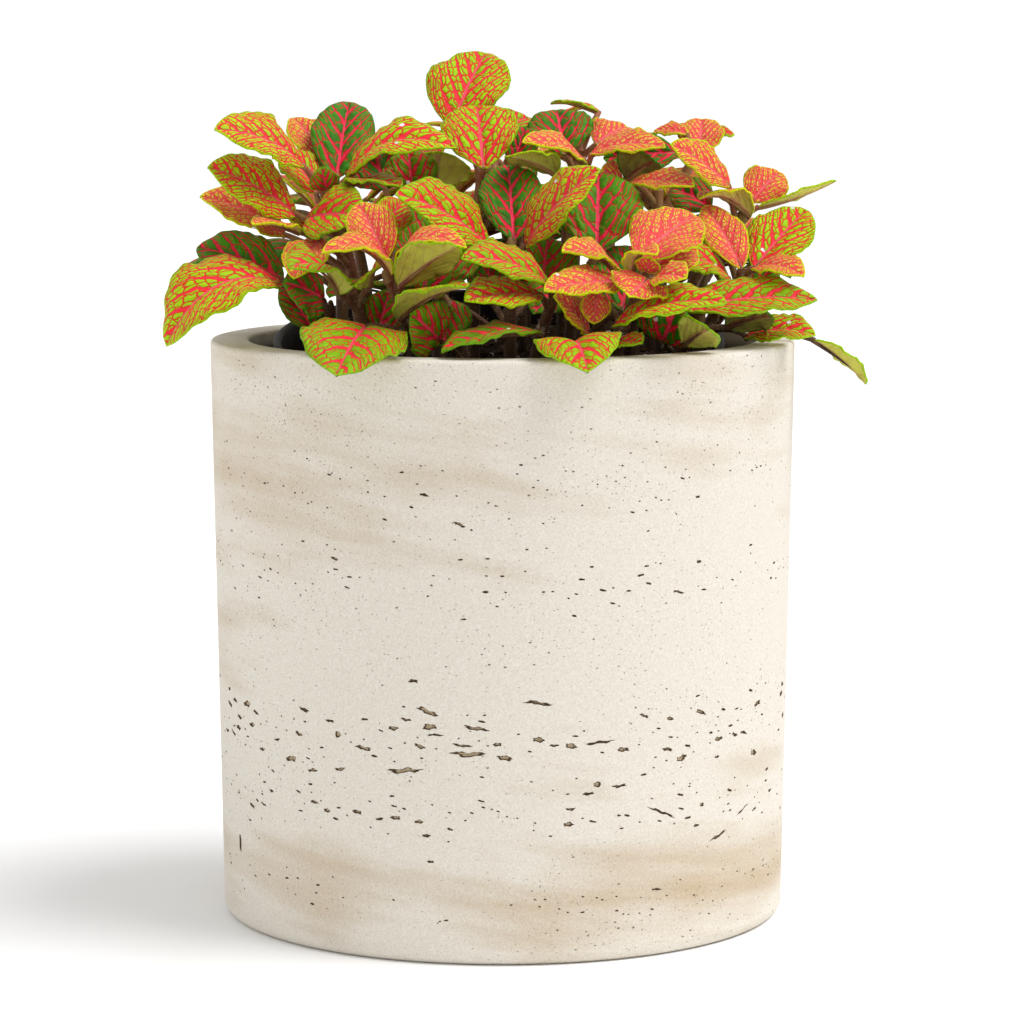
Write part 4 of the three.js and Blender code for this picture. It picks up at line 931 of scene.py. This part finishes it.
# Leaves that would cross are bent clear of each other, of the stems and of the rims, in small steps
for _ in range(BENDING_STEPS):
    blades = Blades(base, tip, *shape)
    samples = blades.point(sample_t, sample_s)
    shifts = np.zeros_like(base), np.zeros_like(tip)

    apart = np.linalg.norm(blades.middle[:, None] - blades.middle, axis=2)
    near = apart < (blades.length[:, None] + blades.length) * 0.6 + 3
    one, other = np.nonzero(near & ~np.eye(len(rows), dtype=bool))
    under = blades.chosen(other)
    t, across, height, over = under.height_over(samples[one])
    side = np.where(np.sum(height * over, axis=1) >= 0, 1, -1)
    missing = np.where(over, BLADE_CLEARANCE - side[:, None] * height, -np.inf)
    worst = np.argmax(missing, axis=1)
    hit = np.nonzero(missing[np.arange(len(one)), worst] > 0)[0]
    one, other, worst = one[hit], other[hit], worst[hit]
    step_size = np.minimum(missing[hit, worst], 3) * 0.5 * side[hit]
    push = under.up[hit] * step_size[:, None]
    share = (give[one] / (give[one] + give[other]))[:, None]
    shove(shifts, one, sample_t[worst], push * share)
    shove(shifts, other, t[hit, worst], push * (share - 1))

    every_stem = np.broadcast_to(stem_points, (len(rows), *stem_points.shape))
    t, across, height, over = blades.height_over(every_stem)
    away = np.linalg.norm(stem_points - blades.middle[:, None], axis=2)
    over &= (np.abs(height) < 2) & (stem_owner != owner[:, None]) & (away <= blades.length[:, None])
    missing = blades.half_width(np.clip(t, 0, 1)) + STEM_FOOT_RADIUS + 1 - np.abs(across)
    swing = np.minimum(missing, 2) * 0.25 * give[:, None] * np.where(across > 0, -1, 1)
    leaf, _ = np.nonzero(over)
    shove(shifts, leaf, t[over], blades.side[leaf] * swing[over][:, None])

    missing = lowest_allowed(samples) - samples[..., 2]
    leaf, sample = np.nonzero((missing > 0) & (missing < 12))
    shove(shifts, leaf, sample_t[sample], missing[leaf, sample][:, None] * [0, 0, 0.3])

    base += shorter(shifts[0], MOST_SHIFTED[0])
    tip += shorter(shifts[1], MOST_SHIFTED[1])

blades = Blades(base, tip, *shape)


def stalk_controls(leaf, height, sway):
    """A leaf stalk leaves the stem below its blade and runs into the midrib."""
    end = blades.chosen([leaf]).point(np.array([0.03]), np.array([0.0]))[0, 0]
    start = bezier(stem_lines[owner[leaf]], height)
    outward = (end - start) * [1, 1, 0]
    start = start + outward / np.linalg.norm(outward) * STEM_CROWN_RADIUS * 0.6
    reach = end - start
    sideways = np.array([-reach[1], reach[0], 0])
    middle = (start + end) / 2 + [0, 0, 0.12 * np.linalg.norm(reach)]
    return start, middle + sway * sideways / np.linalg.norm(sideways), end


def crosses_rim(leaf):
    """Whether a leaf's stalk reaches over the growing pot's rim."""
    return np.hypot(*base[leaf, :2]) > POT_RIM_RADIUS


# The places on a stem where a stalk may start, as parts of the stem
LOWEST_ATTACHED = 0.35
HIGHEST_ATTACHED = 0.99
ATTACH_STEP = 0.04
ABOVE_PLANTER = 156.2
attach_heights = [LOWEST_ATTACHED]
while attach_heights[-1] + ATTACH_STEP <= HIGHEST_ATTACHED:
    attach_heights.append(attach_heights[-1] + ATTACH_STEP)


def attach_height(leaf):
    """How far up its stem a leaf's stalk starts: above the planter's rim if it crosses that."""
    points = bezier(stem_lines[owner[leaf]], attach_heights)
    away = np.hypot(*(base[leaf, :2] - points[:, :2]).T)
    lowest = ABOVE_PLANTER if crosses_rim(leaf) else -np.inf
    wanted = np.maximum(base[leaf, 2] - 0.5 * away - 1, lowest)
    return attach_heights[np.argmin(np.abs(wanted - points[:, 2]))]


# Each stalk takes the first route that keeps clear of the other shoots: how far below the height
# that suits its leaf it starts, as a part of the stem, and how far it sways to the side
SWAYS = (0, 2.5, -2.5, 5, -5, 7.5, -7.5)
ROUTES = [(lower, sway) for lower in (0, 0.08, -0.08, 0.16, 0.24) for sway in SWAYS]
STALK_CLEARANCE = 1
LOWEST_ROUTE = 0.3
ninths = np.arange(10) / 9
wood = np.concatenate([stem_points, samples.reshape(-1, 3)])
wood_radius = np.repeat([STEM_FOOT_RADIUS, BLADE_THICKNESS], [len(stem_points), samples[..., 0].size])
wood_owner = np.concatenate([stem_owner, np.repeat(owner, len(sample_t))])
stalk_lines = []
for leaf in range(len(rows)):
    others = wood_owner != owner[leaf]
    best, best_free = None, -np.inf
    attached = attach_height(leaf)
    lowest = attached if crosses_rim(leaf) else LOWEST_ROUTE
    for lower, sway in ROUTES:
        height = min(max(attached - lower, lowest), HIGHEST_ATTACHED)
        line = stalk_controls(leaf, height, sway)
        gaps = np.linalg.norm(bezier(line, ninths)[:, None] - wood[others], axis=2) - wood_radius[others]
        free = gaps.min() - STALK_RADIUS
        if free > best_free:
            best, best_free = line, free
        if best_free >= STALK_CLEARANCE:
            break
    stalk_lines.append(best)
    wood = np.concatenate([wood, bezier(best, ninths)])
    wood_radius = np.concatenate([wood_radius, np.full(len(ninths), STALK_RADIUS)])
    wood_owner = np.concatenate([wood_owner, np.full(len(ninths), owner[leaf])])


# The skin of the leaves. On the upper side every vein is a sunken coloured line: the midrib, the
# side veins that leave it and arch toward the tip, and a net between them whose meshes lie along
# the side veins. The net is so close in young leaves that they look pink, and open in old ones.
def aged(years, young, mid, mature):
    """A colour or grey that changes from a young leaf to a mature one."""
    tree = years.socket.id_data
    stops = [(0, young), (0.5, mid), (1, mature)]
    return Shade.node(tree, "ShaderNodeValToRGB", {"stops": stops}, {0: years / 2})


def line_mask(distance, width, softness):
    """1 inside a line of that half width, 0 outside it, with soft sides."""
    return ((width - distance) / softness + 0.5).clamped()


def kept_vector(tree, name):
    """The three numbers that each point of a leaf keeps under that name."""
    settings = {"attribute_type": "GEOMETRY", "attribute_name": name}
    return Shade.node(tree, "ShaderNodeAttribute", settings, {}, 1).parts()


class LeafPlan:
    """Where a point of a blade lies among its veins, and what its leaf is like. Lengths are in mm."""

    VEIN_SINE = 0.62
    VEIN_COSINE = 0.78
    LARGE_LEAF = 34
    NET_MESH = 2.7
    FLECK_CELL = 16

    def __init__(self, tree):
        across, along, self.margin = kept_vector(tree, "blade_place")
        years, self.number, size = kept_vector(tree, "leaf_kind")
        self.years = years + (self.number * 5.3).fraction() * 0.5 - 0.25
        self.place = vector(tree, across, along, self.number * 60)
        self.wobble = noise(tree, self.place, 0.2, 2, 0.5) - 0.5
        self.ripple = noise(tree, self.place, 0.8, 2, 0.5) - 0.5
        self.mottle = noise(tree, self.place, 0.35, 3, 0.6)
        self.scale = (size / self.LARGE_LEAF).clamped() * 0.6 + 0.4
        off = abs(across)
        right = across > 0
        self.share = off / (off + self.margin + 0.01)
        self.base_near = (1 - along / size).clamped()
        self.midrib = abs(across + self.wobble * 1.2 * self.share + self.ripple * 0.3)
        turn = along / size - off / size * (1.1 + 2.4 * off / size) + 0.12 * self.wobble
        vein_step = aged(self.years, grey(0.14), grey(0.16), grey(0.20))
        step = (turn / vein_step + right * 0.45 + self.number * 9).fraction()
        apart = vein_step * self.VEIN_SINE * size
        self.side_vein = abs(step - 0.5) * apart + self.ripple * 0.6
        forked = abs((step + self.wobble * 0.3).fraction() - 0.03) * apart
        self.fork = forked + (0.55 - self.share).clamped() * 9
        mesh = aged(self.years, grey(0.30), grey(0.56), grey(0.95)) * self.NET_MESH
        outward = (off * self.VEIN_SINE + along * self.VEIN_COSINE + self.wobble * 3) / (mesh * 1.75)
        sideways = (turn * size * self.VEIN_SINE + self.ripple * 0.8) / mesh + right * 31
        place = vector(tree, sideways, outward + self.number * 50)
        settings = {"voronoi_dimensions": "2D", "feature": "DISTANCE_TO_EDGE"}
        values = {"Vector": place, "Scale": 1, "Randomness": 0.8}
        self.net = Shade.node(tree, "ShaderNodeTexVoronoi", settings, values) * mesh * 1.3
        settings = {"voronoi_dimensions": "2D"}
        place = vector(tree, across + self.number * 900, along)
        values = {"Vector": place, "Scale": 1 / self.FLECK_CELL}
        self.fleck = Shade.node(tree, "ShaderNodeTexVoronoi", settings, values) * self.FLECK_CELL


leaf_skin, tree, inputs = new_material("leaf_skin", Specular_IOR_Level=0.15, Roughness=0.55)
plan = LeafPlan(tree)
years, share, base_near, mottle = plan.years, plan.share, plan.base_near, plan.mottle
net_width = aged(years, grey(0.20), grey(0.18), grey(0.20)) * (0.5 + mottle) + base_near**3 * 0.12
side_width = aged(years, grey(0.34), grey(0.50), grey(0.46)) * (1.15 - share * 1.0) + base_near**4 * 0.2
middle_width = aged(years, grey(0.50), grey(0.52), grey(0.55)) * (0.3 + base_near * 0.9)
on_net = line_mask(plan.net + plan.ripple * 0.15, net_width * plan.scale, 0.14)
near_vein = line_mask(plan.side_vein, 0.9, 1.2)
broken = ((mottle - 0.46) * 8).clamped() * (1 - near_vein * 0.8) * ((years - 1) * 1.2).clamped()
on_net = on_net * (1 - broken)
on_side = line_mask(plan.side_vein, side_width * plan.scale, 0.16)
on_fork = line_mask(plan.fork, side_width * plan.scale * 0.6, 0.16)
on_side = 1 - (1 - on_side) * (1 - on_fork)
side_vein_shade = line_mask(plan.side_vein, side_width * plan.scale + 0.14, 0.2)
on_middle = line_mask(plan.midrib, middle_width * plan.scale, 0.2)
on_margin = line_mask(plan.margin, 0.18 + mottle * 0.5, 0.25)

tissue = aged(years, paint(224, 212, 22), paint(170, 214, 0), paint(64, 138, 10))
deep = aged(years, paint(248, 158, 126), paint(144, 200, 0), paint(24, 82, 6))
pale_share = ((1 - share) * 1.3 - 0.75 + (mottle - 0.5) * 1.6 + base_near * 0.3).clamped()
cells = noise(tree, plan.place, 2.2, 2, 0.6)
shadowed = aged(years, paint(244, 122, 104), paint(112, 162, 0), paint(16, 60, 6))
leaf_colour = pale_share.mixed(tissue, deep)
leaf_colour = (((cells - 0.5) * 3).clamped() * 0.45).mixed(leaf_colour, shadowed)
net_red = aged(years, paint(240, 72, 80), paint(216, 24, 26), paint(196, 14, 34))
vein_shade_red = aged(years, paint(234, 58, 56), paint(218, 20, 26), paint(160, 12, 30))
side_red = aged(years, paint(244, 82, 86), paint(250, 48, 62), paint(240, 36, 68))
middle_red = aged(years, paint(248, 112, 118), paint(252, 88, 106), paint(244, 58, 90))
leaf_colour = (on_net * 0.95).mixed(leaf_colour, net_red)
# A darker red band along each side vein: painted shade where the tissue dips into the sunken vein, on the
# vein's own red.
leaf_colour = (side_vein_shade * 0.75).mixed(leaf_colour, vein_shade_red)
leaf_colour = on_side.mixed(leaf_colour, side_red)
leaf_colour = on_middle.mixed(leaf_colour, middle_red)
edge_green = aged(years, paint(216, 222, 14), paint(168, 208, 0), paint(76, 134, 12))
leaf_colour = on_margin.mixed(leaf_colour, edge_green)
# Pale flecks on some leaves.
pale_flecks = line_mask(plan.fleck + plan.ripple, 0.5, 0.2) * ((plan.number * 7.3).fraction() > 0.6)
leaf_colour = pale_flecks.mixed(leaf_colour, grey(0.9))
feed(tree, leaf_colour, inputs["Base Color"])
feed(tree, 0.42 + mottle * 0.15, inputs["Roughness"])
any_line = 1 - (1 - on_net * 0.5) * (1 - on_side) * (1 - on_middle)
pillow = (plan.net * 0.8).clamped() + (plan.side_vein * 0.4).clamped()
grit = noise(tree, plan.place, 4.5, 2, 0.6)
bumped(tree, inputs, pillow - any_line * 0.7 + grit * 0.35, 0.28 * MM)

# The underside is pale olive, with raised veins, and browner and redder on old leaves
leaf_underside, tree, inputs = new_material("leaf_underside", Roughness=0.62, Specular_IOR_Level=0.25)
plan = LeafPlan(tree)
years, mottle = plan.years, plan.mottle
raised = line_mask(plan.side_vein, 0.35 * (1.2 - plan.share), 0.3)
spine = line_mask(plan.midrib, 0.2 + plan.base_near * 0.6, 0.4)
under = aged(years, paint(222, 208, 96), paint(206, 206, 84), paint(134, 134, 56))
blotch = aged(years, paint(214, 162, 104), paint(180, 168, 72), paint(104, 72, 46))
under = ((mottle - 0.45) * 3).clamped().mixed(under, blotch)
raised_tint = aged(years, paint(222, 200, 120), paint(200, 196, 104), paint(146, 118, 66))
under = (raised * 0.3).mixed(under, raised_tint)
under = spine.mixed(under, aged(years, paint(216, 150, 112), paint(184, 154, 92), paint(136, 76, 54)))
edge = aged(years, paint(204, 204, 60), paint(158, 190, 40), paint(100, 136, 40))
under = line_mask(plan.margin, 0.4, 0.3).mixed(under, edge)
feed(tree, under, inputs["Base Color"])
height = raised * 0.6 + spine - (plan.net * 0.6).clamped() * 0.4 + noise(tree, plan.place, 3, 2) * 0.3
bumped(tree, inputs, height, 0.25 * MM)

stem_skin, tree, inputs = new_material("stem_skin", Roughness=0.6, Specular_IOR_Level=0.3)
place = object_place(tree)
x, y, z = place.parts()
# Stems are dark brown low down and pinkish above. The dark low part is partly the woody stem's own colour
# and partly painted shade of the plant's inside below the rim.
height_up = ((z - 0.150) * 22).clamped()
streaks = noise(tree, vector(tree, x, y, z * 0.25), 420, 3, 0.6)
bark = ((streaks - 0.35) * 3).clamped().mixed(paint(46, 31, 22), paint(90, 66, 42))
flesh = ((streaks - 0.35) * 3).clamped().mixed(paint(158, 84, 64), paint(170, 140, 82))
feed(tree, height_up.mixed(bark, flesh), inputs["Base Color"])
bumped(tree, inputs, streaks, 0.2 * MM)

hair_white, tree, inputs = new_material("hair_white", Roughness=0.5)
place = object_place(tree)
tint = noise(tree, place, 200, 1)
feed(tree, tint.mixed(paint(190, 168, 140), paint(236, 226, 208)), inputs["Base Color"])

# One flat blade is made as a grid, and every leaf is a copy of it, laid along its own midrib. Each
# point remembers how far across and along the blade it lies and how far from the margin, in mm,
# for the veins to follow, and each leaf its age, its length and a number of its own.
bpy.ops.object.select_all(action="DESELECT")
bpy.ops.mesh.primitive_grid_add(x_subdivisions=18, y_subdivisions=32, size=2)
flat_blade = bpy.context.active_object
flat_blade.name = "flat_blade"
grid_points = np.empty(len(flat_blade.data.vertices) * 3)
flat_blade.data.vertices.foreach_get("co", grid_points)
grid_s, grid_t = grid_points.reshape(-1, 3)[:, 0], grid_points.reshape(-1, 3)[:, 1] / 2 + 0.5

FRILL_TURNS = (4.5, 7.7)
FRILL_DEPTH = 0.03


def remember(mesh, name, vectors):
    """Keep a vector for each point of a mesh, for its material to read."""
    attribute = mesh.attributes.new(name, "FLOAT_VECTOR", "POINT")
    attribute.data.foreach_set("vector", np.asarray(vectors, dtype=np.float32).ravel())


def blade_piece(blade, years, number):
    """A leaf blade: its halves bulge a little between the midrib and a finely waved margin."""
    t, s = grid_t, grid_s
    half = blade.half_width(t)[0] * ((t > 0.001) & (t < 0.999))
    bulge = 0.10 * half * np.sin(np.pi * np.abs(s)) - 0.25 * np.exp(-((half * s / 0.8) ** 2))
    turns = 2 * np.pi * t
    long_waves = np.sin(FRILL_TURNS[0] * turns + number * 40 + 2 * (s > 0))
    waves = long_waves + np.sin(FRILL_TURNS[1] * turns + number * 90)
    frill = FRILL_DEPTH * half * s**4 * waves
    points = blade.point(t, s, bulge + frill)[0]
    piece = copy_of(flat_blade, "leaf")
    piece.data.vertices.foreach_set("co", (points * MM).ravel())
    length = blade.length[0]
    size = max(length, 3 * half.max())
    place = np.stack([half * s, t * length, half * (1 - np.abs(s))], axis=1)
    place[:, 2] = np.minimum(place[:, 2], np.minimum(t, 1 - t) * length * 0.8)
    remember(piece.data, "blade_place", place)
    remember(piece.data, "leaf_kind", np.tile([years, number, size], (len(t), 1)))
    return piece


def as_cubic(controls):
    """The same curve with four control points."""
    if len(controls) == 4:
        return controls
    start, middle, end = controls
    return start, start + (middle - start) * 2 / 3, end + (middle - end) * 2 / 3, end


def soft_rods(lines):
    """Round rods in one piece, along Bezier curves given by their controls and end radii."""
    curve = bpy.data.curves.new("rods", "CURVE")
    curve.dimensions = "3D"
    curve.bevel_depth = MM
    curve.bevel_resolution = 3
    curve.resolution_u = 10
    curve.use_fill_caps = True
    for controls, first_radius, last_radius in lines:
        start, after, before, end = as_cubic(controls)
        spline = curve.splines.new("BEZIER")
        spline.bezier_points.add(1)
        for point, place, left, right, radius in (
            (spline.bezier_points[0], start, 2 * start - after, after, first_radius),
            (spline.bezier_points[1], end, before, 2 * end - before, last_radius),
        ):
            point.co = place * MM
            point.handle_left = left * MM
            point.handle_right = right * MM
            point.radius = radius
    rods = bpy.data.objects.new("rods", curve)
    bpy.context.collection.objects.link(rods)
    only(rods)
    bpy.ops.object.convert(target="MESH")
    return bpy.context.active_object


HAIRS_PER_MM = 5
HAIR_RADIUS = 0.045


def fuzz(lines, number):
    """Fine hairs that stand out from the rods along those lines, as thin three-sided spikes."""
    random = np.random.default_rng(number)
    corners = []
    for controls, first_radius, last_radius in lines:
        controls = as_cubic(controls)
        length = np.linalg.norm(controls[3] - controls[0])
        count = int(length * HAIRS_PER_MM)
        t = random.uniform(0.02, 0.98, count)
        root = bezier(controls, t)
        onward = bezier(controls, t + 0.01) - bezier(controls, t - 0.01)
        onward /= np.linalg.norm(onward, axis=1)[:, None]
        out = np.cross(onward, random.normal(size=(count, 3)))
        out /= np.linalg.norm(out, axis=1)[:, None]
        across = np.cross(onward, out)
        radius = (first_radius + (last_radius - first_radius) * t)[:, None]
        foot = root + out * (radius - 0.1)
        tip_out = out + onward * random.uniform(-0.2, 0.7, (count, 1)) + random.normal(size=(count, 3)) * 0.2
        end = foot + tip_out * random.uniform(0.5, 1.3, (count, 1))
        foot_corners = [foot + side * HAIR_RADIUS for side in (across, -across, onward)]
        corners.append(np.stack([*foot_corners, end], axis=1))
    corners = np.concatenate(corners)
    first = np.arange(len(corners))[:, None] * 4
    sides = np.concatenate([first + [0, 2, 3], first + [2, 1, 3], first + [1, 0, 3], first + [0, 1, 2]])
    mesh = bpy.data.meshes.new("hairs")
    mesh.from_pydata((corners.reshape(-1, 3) * MM).tolist(), [], sides.tolist())
    piece = bpy.data.objects.new("hairs", mesh)
    bpy.context.collection.objects.link(piece)
    return piece


BUD_TIP_RADIUS = 0.3
STALK_END_RADIUS = 0.75
RIB_RADIUS = 0.7
RIB_END_RADIUS = 0.2
RIB_ALONG = np.array([0, 0.2, 0.4, 0.7])
RIB_SUNK = np.array([-0.3, -0.55, -0.5, -0.25])
THIN_BLADE = 0.5
LOW_LEAF = 178
PLANT_SKINS = (leaf_skin, leaf_underside, stem_skin, hair_white)


def skinned(piece, skin):
    """Give a piece the skins of the plant, and all its faces one of them."""
    piece.data.materials.clear()
    for material in PLANT_SKINS:
        piece.data.materials.append(material)
    for polygon in piece.data.polygons:
        polygon.material_index = PLANT_SKINS.index(skin)


def bud_lines(stem):
    """The bud at the end of a stem, which swells and then comes to a point."""
    crown = stem[3]
    onward = (stem[3] - stem[2]) / np.linalg.norm(stem[3] - stem[2])
    middle, tip = crown + onward * BUD_LENGTH * 0.4, crown + onward * BUD_LENGTH
    swelling = (crown, crown + (middle - crown) * 0.6, middle, middle)
    point = (middle, middle, tip, tip)
    return [(swelling, STEM_CROWN_RADIUS, BUD_RADIUS), (point, BUD_RADIUS, BUD_TIP_RADIUS)]


def rib_line(leaf):
    """The midrib that stands out under a blade."""
    controls = blades.chosen([leaf]).point(RIB_ALONG, np.zeros(4), RIB_SUNK)[0]
    return tuple(controls), RIB_RADIUS, RIB_END_RADIUS


for index in range(len(shoots)):
    name = f"shoot_{index + 1:02d}"
    leaves = [i for i in range(len(rows)) if owner[i] == index]
    stalks = [(stalk_lines[leaf], STALK_RADIUS, STALK_END_RADIUS) for leaf in leaves]
    wooden = [(stem_lines[index], STEM_FOOT_RADIUS, STEM_CROWN_RADIUS), *stalks]
    ribs = [rib_line(leaf) for leaf in leaves]
    rods = soft_rods([*wooden, *ribs, *bud_lines(stem_lines[index])])
    skinned(rods, stem_skin)
    bladed = []
    for leaf in leaves:
        low = min(max((LOW_LEAF - base[leaf, 2]) / 16, 0), 1)
        years = age[leaf] + 0.25 * low * (age[leaf] == MID)
        bladed.append(blade_piece(blades.chosen([leaf]), years, (leaf * 0.618) % 1))
    only(*bladed)
    bpy.ops.object.join()
    foliage = bpy.context.active_object
    skinned(foliage, leaf_skin)
    solid = foliage.modifiers.new("thickness", "SOLIDIFY")
    solid.thickness = THIN_BLADE * MM
    solid.offset = 0
    solid.material_offset = PLANT_SKINS.index(leaf_underside)
    solid.material_offset_rim = PLANT_SKINS.index(leaf_skin)
    bpy.ops.object.modifier_apply(modifier=solid.name)
    hairs = fuzz(wooden, index)
    skinned(hairs, hair_white)
    only(foliage, rods, hairs)
    bpy.ops.object.join()
    leafy = bpy.context.active_object
    leafy.name = "leafy_" + name
    bpy.ops.object.shade_smooth()
    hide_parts(name)
    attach(leafy, "root")

bpy.data.objects.remove(flat_blade)

# The stage: a white table in a white room, which gives most of the light, with a broad soft lamp
# high on the right that throws the shadow to the left and a weak one behind on the left. A long
# lens looks slightly down on the plant.
bpy.ops.object.select_all(action="DESELECT")
bpy.ops.mesh.primitive_plane_add(size=8)
floor = added("white_table")
table_white, tree, inputs = new_material("table_white", Roughness=0.9, Specular_IOR_Level=0.1)
place = object_place(tree)
feed(tree, noise(tree, place, 3).mixed(grey(0.96), grey(0.97)), inputs["Base Color"])
floor.data.materials.append(table_white)

LIGHT_AIM = Vector((0, 0, 0.12))
ROOM_LIGHT = 0.66
ROOM_BRIGHTNESS = 1.05


def far_light(name, place, power, spread):
    """Light from far away in the direction of a place, as soft as its spread in degrees is wide."""
    made = bpy.data.objects.new(name, bpy.data.lights.new(name, "SUN"))
    made.data.energy = power
    made.data.angle = math.radians(spread)
    made.location = place
    made.rotation_euler = (LIGHT_AIM - Vector(place)).to_track_quat("-Z", "Y").to_euler()
    bpy.context.collection.objects.link(made)


far_light("key_light", (0.95, -0.22, 1.75), 2.3, 38)
far_light("edge_light", (-1.0, 0.30, 0.45), 0.35, 30)
world = bpy.data.worlds.new("white_room")
world.use_nodes = True
tree = world.node_tree
seen = Shade.node(tree, "ShaderNodeLightPath", {}, {})
background = tree.nodes["Background"].inputs
feed(tree, seen * (ROOM_BRIGHTNESS - ROOM_LIGHT) + ROOM_LIGHT, background["Strength"])
background["Color"].default_value = grey(1)
bpy.context.scene.world = world
bpy.context.scene.view_settings.view_transform = "Standard"

CAMERA_PLACE = (2.49 * MM, -1070.9 * MM, 235.7 * MM)
CAMERA_DIP = 0.12015
CAMERA_LENS = 141.96
camera = bpy.data.objects.new("camera", bpy.data.cameras.new("camera"))
camera.data.sensor_width = 36
camera.data.lens = CAMERA_LENS
camera.location = CAMERA_PLACE
camera.rotation_euler = (math.pi / 2 - CAMERA_DIP, 0, 0)
bpy.context.collection.objects.link(camera)
bpy.context.scene.camera = camera
